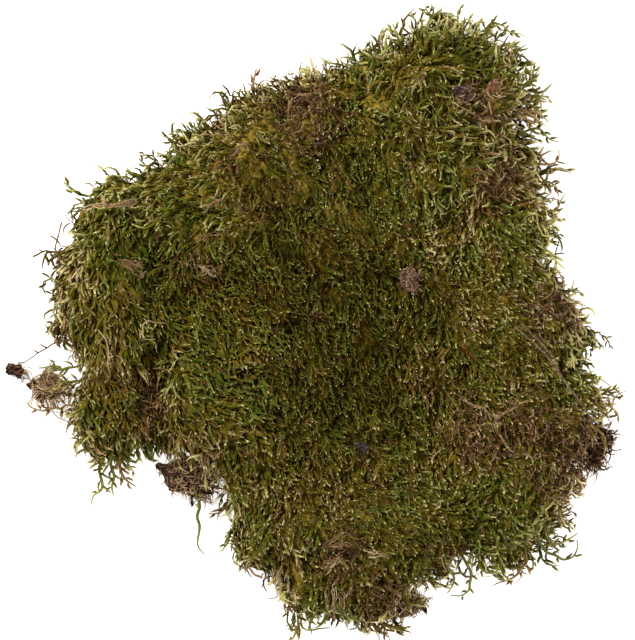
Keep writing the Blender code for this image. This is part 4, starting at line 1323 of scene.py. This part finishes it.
def build_threads(node, material):
    """Bare, wavy threads that lie side by side, with short stubs where leaves were."""
    tint, radius, count, waver = THREADS[node]
    rng = random.Random(node)
    bm = bmesh.new()
    layer = bm.loops.layers.uv.new(BAKE_MAP)
    spread = 0.5 * radius * count * MM
    for line in strand_lines(node):
        for _ in range(count):
            shift = Vector((rng.uniform(-1, 1), rng.uniform(-1, 1), rng.uniform(-0.3, 0.6))) * spread
            shift += ON_TIPS
            one = wavy([point + shift for point in line], waver * MM, 5 * MM, rng)
            one = one[rng.randrange(2) if count > 1 else 0:]
            size = radius * rng.uniform(0.75, 1.15) * MM
            shade = tint + rng.uniform(-0.1, 0.1)
            add_tube(bm, layer, one, size, 0.6 * size, 4, shade)
            if node in COMBED:
                clothe(bm, layer, one, round(0.25 * len(one)), 1.7 * MM, 0.5 * MM, STUB_SPLAY, 0.0,
                       shade, rng)
    keep_off_table(bm)
    finish_strand(bm, node + "_threads", material, node)


def build_fan(node, material):
    """Thin dry blades that start near a strand's outer end and part towards the other."""
    tint, radius, count, spread = FANS[node]
    rng = random.Random(node)
    bm = bmesh.new()
    layer = bm.loops.layers.uv.new(BAKE_MAP)
    for number, line in enumerate(strand_lines(node)):
        line.reverse()
        for _ in range(count if number == 0 else count // 3):
            start = rng.randrange(max(1, len(line) // 2))
            turn = Matrix.Rotation(rng.uniform(-spread, spread), 3, "Z")
            root = line[start]
            length = rng.uniform(0.5, 1.0)
            blade = [root + turn @ (point - root) * length + ON_TIPS for point in line[start:]]
            blade = wavy(blade, 0.9 * MM, 3 * MM, rng)
            if len(blade) > 3:
                size = radius * rng.uniform(0.7, 1.3) * MM
                add_tube(bm, layer, blade, 0.6 * size, 0.3 * size, 4, tint + rng.uniform(-0.2, 0.2),
                         swell=0.5 * size)
    keep_off_table(bm)
    finish_strand(bm, node + "_fan", material, node)


def build_blade(node, material):
    """A stiff needle or straw: a flattened tube with a channel along it."""
    slot, radius, flat = BLADES[node]
    rng = random.Random(node)
    bm = bmesh.new()
    layer = bm.loops.layers.uv.new("along")
    for number, line in enumerate(strand_lines(node)):
        size = radius * (1.0 if number == 0 else 0.7) * MM
        line = wavy(line, 0.15 * MM, 9 * MM, rng)
        side = (line[-1] - line[0]).cross(Vector((0, 0, 1))).normalized()
        for hand in (-1, 1):
            half = [point + side * (hand * 0.52 * size) + ON_TIPS for point in line]
            add_tube(bm, layer, half, 0.6 * size, 0.45 * size, 6, 0.5, flat)
    finish_strand(bm, node + "_blade", material, node)


# ---- clods and crumbs ----
def rough_body(node, name, voxel, relief, grains, shrink=0.0):
    """A node's solid evened out into small faces and roughened, as an object. Relief is how far
    the surface strays, grains the widths of its lumps, and shrink how far it is drawn in."""
    rough = add_object(name + "_rough", new_mesh(merged_copy(node), name))
    body = evened(rough, name, voxel, smoothing=0)
    places, normals = vertex_arrays(body.data)
    places /= MM
    floor = max(0.1, places[:, 2].min())
    for number, grain in enumerate(grains):
        lift = noise_at(places, grain, 3.3 * number) * relief * grain / grains[0]
        lift -= shrink / len(grains)
        places += normals * lift[:, None]
    places[:, 2] = np.maximum(places[:, 2], floor)
    move_vertices(body.data, places * MM)
    if shrink:
        body = evened(body, name, voxel)
        keep_largest(body)
    return body


def fibre_kinds(name, count, length, radius, wave, seed, stubs=0):
    """A collection of single fibres that differ a little, for the scatter to pick from. Stubs are
    what is left of a stem's leaves."""
    rng = random.Random(seed)
    kinds = bpy.data.collections.new(name)
    for _ in range(count):
        bm = bmesh.new()
        layer = bm.loops.layers.uv.new("blade")
        line = bent_line(length * rng.uniform(0.6, 1.3) * MM, rng.uniform(0.3, 2.4),
                         wave * rng.uniform(0.4, 1), 5, rng)
        size = radius * rng.uniform(0.6, 1.3) * MM
        add_tube(bm, layer, line, size, 0.6 * size, 3, 0.5)
        clothe(bm, layer, line, stubs, 1.5 * MM, 0.5 * MM, STUB_SPLAY, 0.15, 0.5, rng)
        add_kind(kinds, bm)
    return kinds


def lay_fibres(body, name, tree, kinds, count, tint, material, seed, lie=0.8, way=None, crowd=1.0,
               spread=0.8):
    """Scatters fibres over a copy of a body, lying down more or less, along a way in degrees if
    there is one, and closer together where the crowd is larger. They curl along the surface."""
    emitter = add_object(name + "_emitter", body.data.copy())
    places, normals = vertex_arrays(emitter.data)
    turn = noise_at(places / MM, 5.0, 0.7) * (math.tau if way is None else 1.4)
    turn += math.radians(way or 0.0)
    along = np.stack([np.cos(turn), np.sin(turn), 0 * turn], 1)
    store(emitter.data, "comb", unit(np.cross(normals, along)))
    store(emitter.data, "grow", unit(normals * (1 - lie) + along * lie))
    for field, value in zip(FIELDS[2:], (1.0, tint, 0.0, 1.0, crowd)):
        store(emitter.data, field, np.full(len(places), value))
    area = sum(face.area for face in emitter.data.polygons)
    return scatter(emitter, name, tree, shoots=kinds, density=count / area, spread=spread,
                   length_spread=0.4, tint_spread=0.2, material=material, seed=seed)


def bare_ground(bed, name, rise, keep):
    """The faces of the bed that pass a test, raised, without what the shoots read."""
    ground = bed_part(bed, name, keep)
    places, normals = vertex_arrays(ground.data)
    places += normals * rise * MM
    ground.data.vertices.foreach_set("co", places.astype(np.float32).ravel())
    drop_fields(ground.data)
    return ground, places / MM


def dead_at(places):
    """The share of dead moss that the patches give each place."""
    return patched(places, 0.0, PATCHES, PATCH_DEAD, PULL)


def dead_litter(bed, tree, material):
    """Old stems that lie on the moss where much of it is dead, as one piece."""
    def among_dead(face):
        middle = np.array([face.calc_center_median()]) / MM
        return face.normal.z > 0.1 and dead_at(middle)[0] > DEAD_STEMS["least_dead"]

    ground, places = bare_ground(bed, "moss_litter", DEAD_STEMS["rise"], among_dead)
    kinds = fibre_kinds("stem_kinds", 12, DEAD_STEMS["length"], 0.24, 1.6, seed=5, stubs=5)
    crowd = dead_at(places)
    crowd *= np.clip(1 + 1.6 * noise_at(places, 4.0, 5.9), 0, 3)
    litter = lay_fibres(ground, "moss_dead_stems", tree, kinds, DEAD_STEMS["count"],
                        DEAD_STEMS["tint"], material, 71, lie=0.8, crowd=crowd / crowd.mean())
    bpy.data.objects.remove(ground)
    return litter


def root_felt(bed, tree, material):
    """Old stems and roots felted together under the sheet, as one piece that lies on the table."""
    ground, places = bare_ground(bed, "moss_sole", 0.3, lambda face: face.normal.z < -0.6)
    kinds = fibre_kinds("felt_kinds", 8, UNDER_FELT["length"], 0.28, 0.7, seed=8)
    crowd = np.clip(1 + 1.2 * noise_at(places, 8.0, 2.6), 0.2, 3)
    felt = lay_fibres(ground, "moss_root_felt", tree, kinds, UNDER_FELT["count"], UNDER_FELT["tint"],
                      material, 73, lie=1.0, crowd=crowd, spread=0.05)
    bpy.data.objects.remove(ground)
    return felt


def build_clod(number, node, tree, roots, fibre):
    """A clod of soil and matted roots, with fibres and stems laid where the clod's skin is."""
    count, length, tint, way, shrink, stems = CLODS[node]
    body = rough_body(node, node + "_soil", 0.8, 2.6, CLOD_GRAINS, shrink)
    fibres = fibre_kinds(node + "_kinds", 8, length, 0.16, 1.3, seed=number)
    stouter = fibre_kinds(node + "_stem_kinds", 6, length, 0.30, 0.9, seed=number + 9, stubs=4)
    # The stems lie a little deeper than the fibres.
    for layer, depth, kinds, many, shade in (("_fibres", 0.3 * shrink, fibres, count, tint),
                                             ("_stems", 0.5 * shrink, stouter, stems, tint - 0.1)):
        skin = rough_body(node, node + layer + "_skin", 1.2, 1.6, CLOD_GRAINS, depth)
        mat = lay_fibres(skin, node + layer, tree, kinds, many, shade, fibre, 60 + number, lie=0.88,
                         way=way)
        bpy.data.objects.remove(skin)
        settle(mat)
    settle(body, node, roots)


def build_crumb(number, node, tree, material, fibre):
    """A crumb with a rough surface and a fuzz of fibres."""
    slot, relief, shrink, count, length, radius, tint, way = CRUMBS[node]
    body = rough_body(node, node + "_rough", 0.35, relief, CRUMB_GRAINS, shrink)
    kinds = fibre_kinds(node + "_kinds", 5, length, radius, 0.8, seed=number)
    fuzz = lay_fibres(body, node + "_fuzz", tree, kinds, count, tint, fibre, 80 + number, lie=0.8,
                      way=way)
    settle(fuzz)
    settle(body, node, material)


# ---- settings ----
class MossSettings(bpy.types.PropertyGroup):
    """How densely the moss's shoots stand."""
    crowding: bpy.props.FloatProperty(
        name="Crowding", description="How densely the shoots stand, against the real clump",
        default=1.0)


class StageSettings(bpy.types.PropertyGroup):
    """Camera and table."""
    camera_height: bpy.props.FloatProperty(
        name="Camera height", description="Height of the camera over the middle of the clump",
        default=1.2, unit="LENGTH")
    view_height: bpy.props.FloatProperty(
        name="View height", description="Length that the picture shows from bottom to top",
        default=0.2304, unit="LENGTH")
    floor_colour: bpy.props.FloatVectorProperty(
        name="Floor colour", description="Colour of the table", subtype="COLOR",
        default=hex_colour("#f4f4f2")[:3])


class MOSSCLUMP_OT_stage(bpy.types.Operator):
    """Sets up the pale table, the soft studio light and the camera straight above"""
    bl_idname = "moss_clump.stage"
    bl_label = "Stage"

    def execute(self, context):
        scene = context.scene
        settings = scene.moss_stage
        bm = bmesh.new()
        bmesh.ops.create_grid(bm, x_segments=1, y_segments=1, size=TABLE_HALF)
        table = add_object("table", new_mesh(bm, "table"))
        table.data.materials.append(white_acrylic(settings.floor_colour))
        table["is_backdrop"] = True

        world = bpy.data.worlds.new("studio")
        world.use_nodes = True
        sky = world.node_tree.nodes["Background"]
        sky.inputs["Color"].default_value = (1.0, 1.0, 1.0, 1.0)
        sky.inputs["Strength"].default_value = SKY_STRENGTH
        scene.world = world
        for name, (place, size, power) in SOFTBOXES.items():
            light = bpy.data.lights.new(name, "AREA")
            light.shape = "SQUARE"
            light.size = size
            light.energy = power
            lamp = bpy.data.objects.new(name, light)
            lamp.location = place
            lamp.rotation_euler = Vector(place).to_track_quat("Z", "Y").to_euler()
            scene.collection.objects.link(lamp)

        camera = bpy.data.objects.new("camera", bpy.data.cameras.new("camera"))
        scene.collection.objects.link(camera)
        scene.camera = camera
        low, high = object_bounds()
        middle = (low + high) / 2
        camera.location = (*CAMERA_SHIFT, settings.camera_height)
        reach = settings.camera_height - middle.z
        camera.data.lens = camera.data.sensor_width * reach / settings.view_height
        camera.data.clip_start = 0.01
        scene.view_settings.view_transform = "Standard"
        return {"FINISHED"}


class MOSSCLUMP_OT_carpet(bpy.types.Operator):
    """Grows the sheet of moss: its bed of old stems, and the shoots all over it"""
    bl_idname = "moss_clump.carpet"
    bl_label = "Moss carpet"

    def execute(self, context):
        settings = context.scene.moss_shoots
        bed = build_bed()
        mark_bed(bed)
        leaf = moss_leaf()
        tree = scatter_tree()
        kinds = {name: shoot_kinds(name, sort, seed=3) for name, sort in SORTS.items()}
        middles = [Vector(region[:2]) * MM for region in REGIONS.values()]

        def in_region(face, number):
            middle = face.calc_center_median().xy
            nearest = min(range(len(middles)), key=lambda i: (middle - middles[i]).length)
            return face.normal.z > RIM_SLOPE and nearest == number

        def on_rim(face, east):
            steep = RIM_UNDERSIDE < face.normal.z <= RIM_SLOPE
            return steep and (face.calc_center_median().x >= 0.0) == east

        parts = [(name, region[2], lambda face, number=number: in_region(face, number))
                 for number, (name, region) in enumerate(REGIONS.items())]
        parts += [("moss_rim_west", "rim", lambda face: on_rim(face, False)),
                  ("moss_rim_east", "rim", lambda face: on_rim(face, True)),
                  ("moss_fringe", "feather", lambda face: FRINGE[0] < face.normal.z < FRINGE[1])]
        for number, (name, sort, keep) in enumerate(parts):
            piece = scatter(bed_part(bed, name, keep), name, tree, shoots=kinds[sort],
                            density=SORTS[sort].per_cm2 * settings.crowding * 10000,
                            spread=SORTS[sort].spread, length_spread=LENGTH_SPREAD,
                            tint_spread=TINT_SPREAD, lift=LIFT * MM, material=leaf,
                            seed=20 + number)
            settle(piece)
        fibre = dry_fibre()
        settle(dead_litter(bed, tree, fibre))
        settle(root_felt(bed, tree, fibre))
        drop_fields(bed.data)
        settle(bed, node="moss_carpet", material=old_thatch())
        return {"FINISHED"}


class MOSSCLUMP_OT_strands(bpy.types.Operator):
    """Dresses the loose strands: leafy sprigs, threads and dead stems, needles and straws"""
    bl_idname = "moss_clump.strands"
    bl_label = "Loose strands"

    def execute(self, context):
        leaf = bpy.data.materials["moss_leaf"]
        fibre = bpy.data.materials["dry_fibre"]
        for node in SPRIGS:
            build_sprig(node, leaf)
        for node in THREADS:
            build_threads(node, fibre)
        for node in FANS:
            build_fan(node, fibre)
        skins = {"dry_needle": pine_needle_skin(), "straw": split_straw()}
        for node, blade in BLADES.items():
            build_blade(node, skins[blade[0]])
        return {"FINISHED"}


class MOSSCLUMP_OT_clods(bpy.types.Operator):
    """Dresses the root clods and the crumbs of soil, bark and leaf"""
    bl_idname = "moss_clump.clods"
    bl_label = "Clods and crumbs"

    def execute(self, context):
        fibre = bpy.data.materials["dry_fibre"]
        tree = bpy.data.node_groups["scatter_shoots"]
        finishes = {"soil_crumb_left": humus_soil(), "soil_crumb_dark": charred_soil(),
                    "bark_crumb": rotten_bark(), "pale_crumb": dead_moss_crumb(),
                    "leaf_scrap": withered_leaf()}
        roots = matted_roots()
        for number, node in enumerate(CLODS):
            build_clod(number, node, tree, roots, fibre)
        for number, node in enumerate(CRUMBS):
            build_crumb(number, node, tree, finishes[node], fibre)
        return {"FINISHED"}


class MOSSCLUMP_PT_panel(bpy.types.Panel):
    """Lists the steps that build the moss clump"""
    bl_label = "Moss Clump"
    bl_space_type = "VIEW_3D"
    bl_region_type = "UI"
    bl_category = "Moss Clump"

    def draw(self, context):
        for operator in OPERATORS:
            self.layout.operator(operator.bl_idname)


OPERATORS = (MOSSCLUMP_OT_stage, MOSSCLUMP_OT_carpet, MOSSCLUMP_OT_strands,
             MOSSCLUMP_OT_clods)
CLASSES = (MossSettings, StageSettings, *OPERATORS, MOSSCLUMP_PT_panel)


def register():
    for item in CLASSES:
        bpy.utils.register_class(item)
    bpy.types.Scene.moss_shoots = bpy.props.PointerProperty(type=MossSettings)
    bpy.types.Scene.moss_stage = bpy.props.PointerProperty(type=StageSettings)


def unregister():
    del bpy.types.Scene.moss_stage
    del bpy.types.Scene.moss_shoots
    for item in reversed(CLASSES):
        bpy.utils.unregister_class(item)


def main():
    register()
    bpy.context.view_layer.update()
    for operator in OPERATORS:
        group, action = operator.bl_idname.split(".")
        getattr(getattr(bpy.ops, group), action)()
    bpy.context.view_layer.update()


if __name__ == "__main__":
    main()
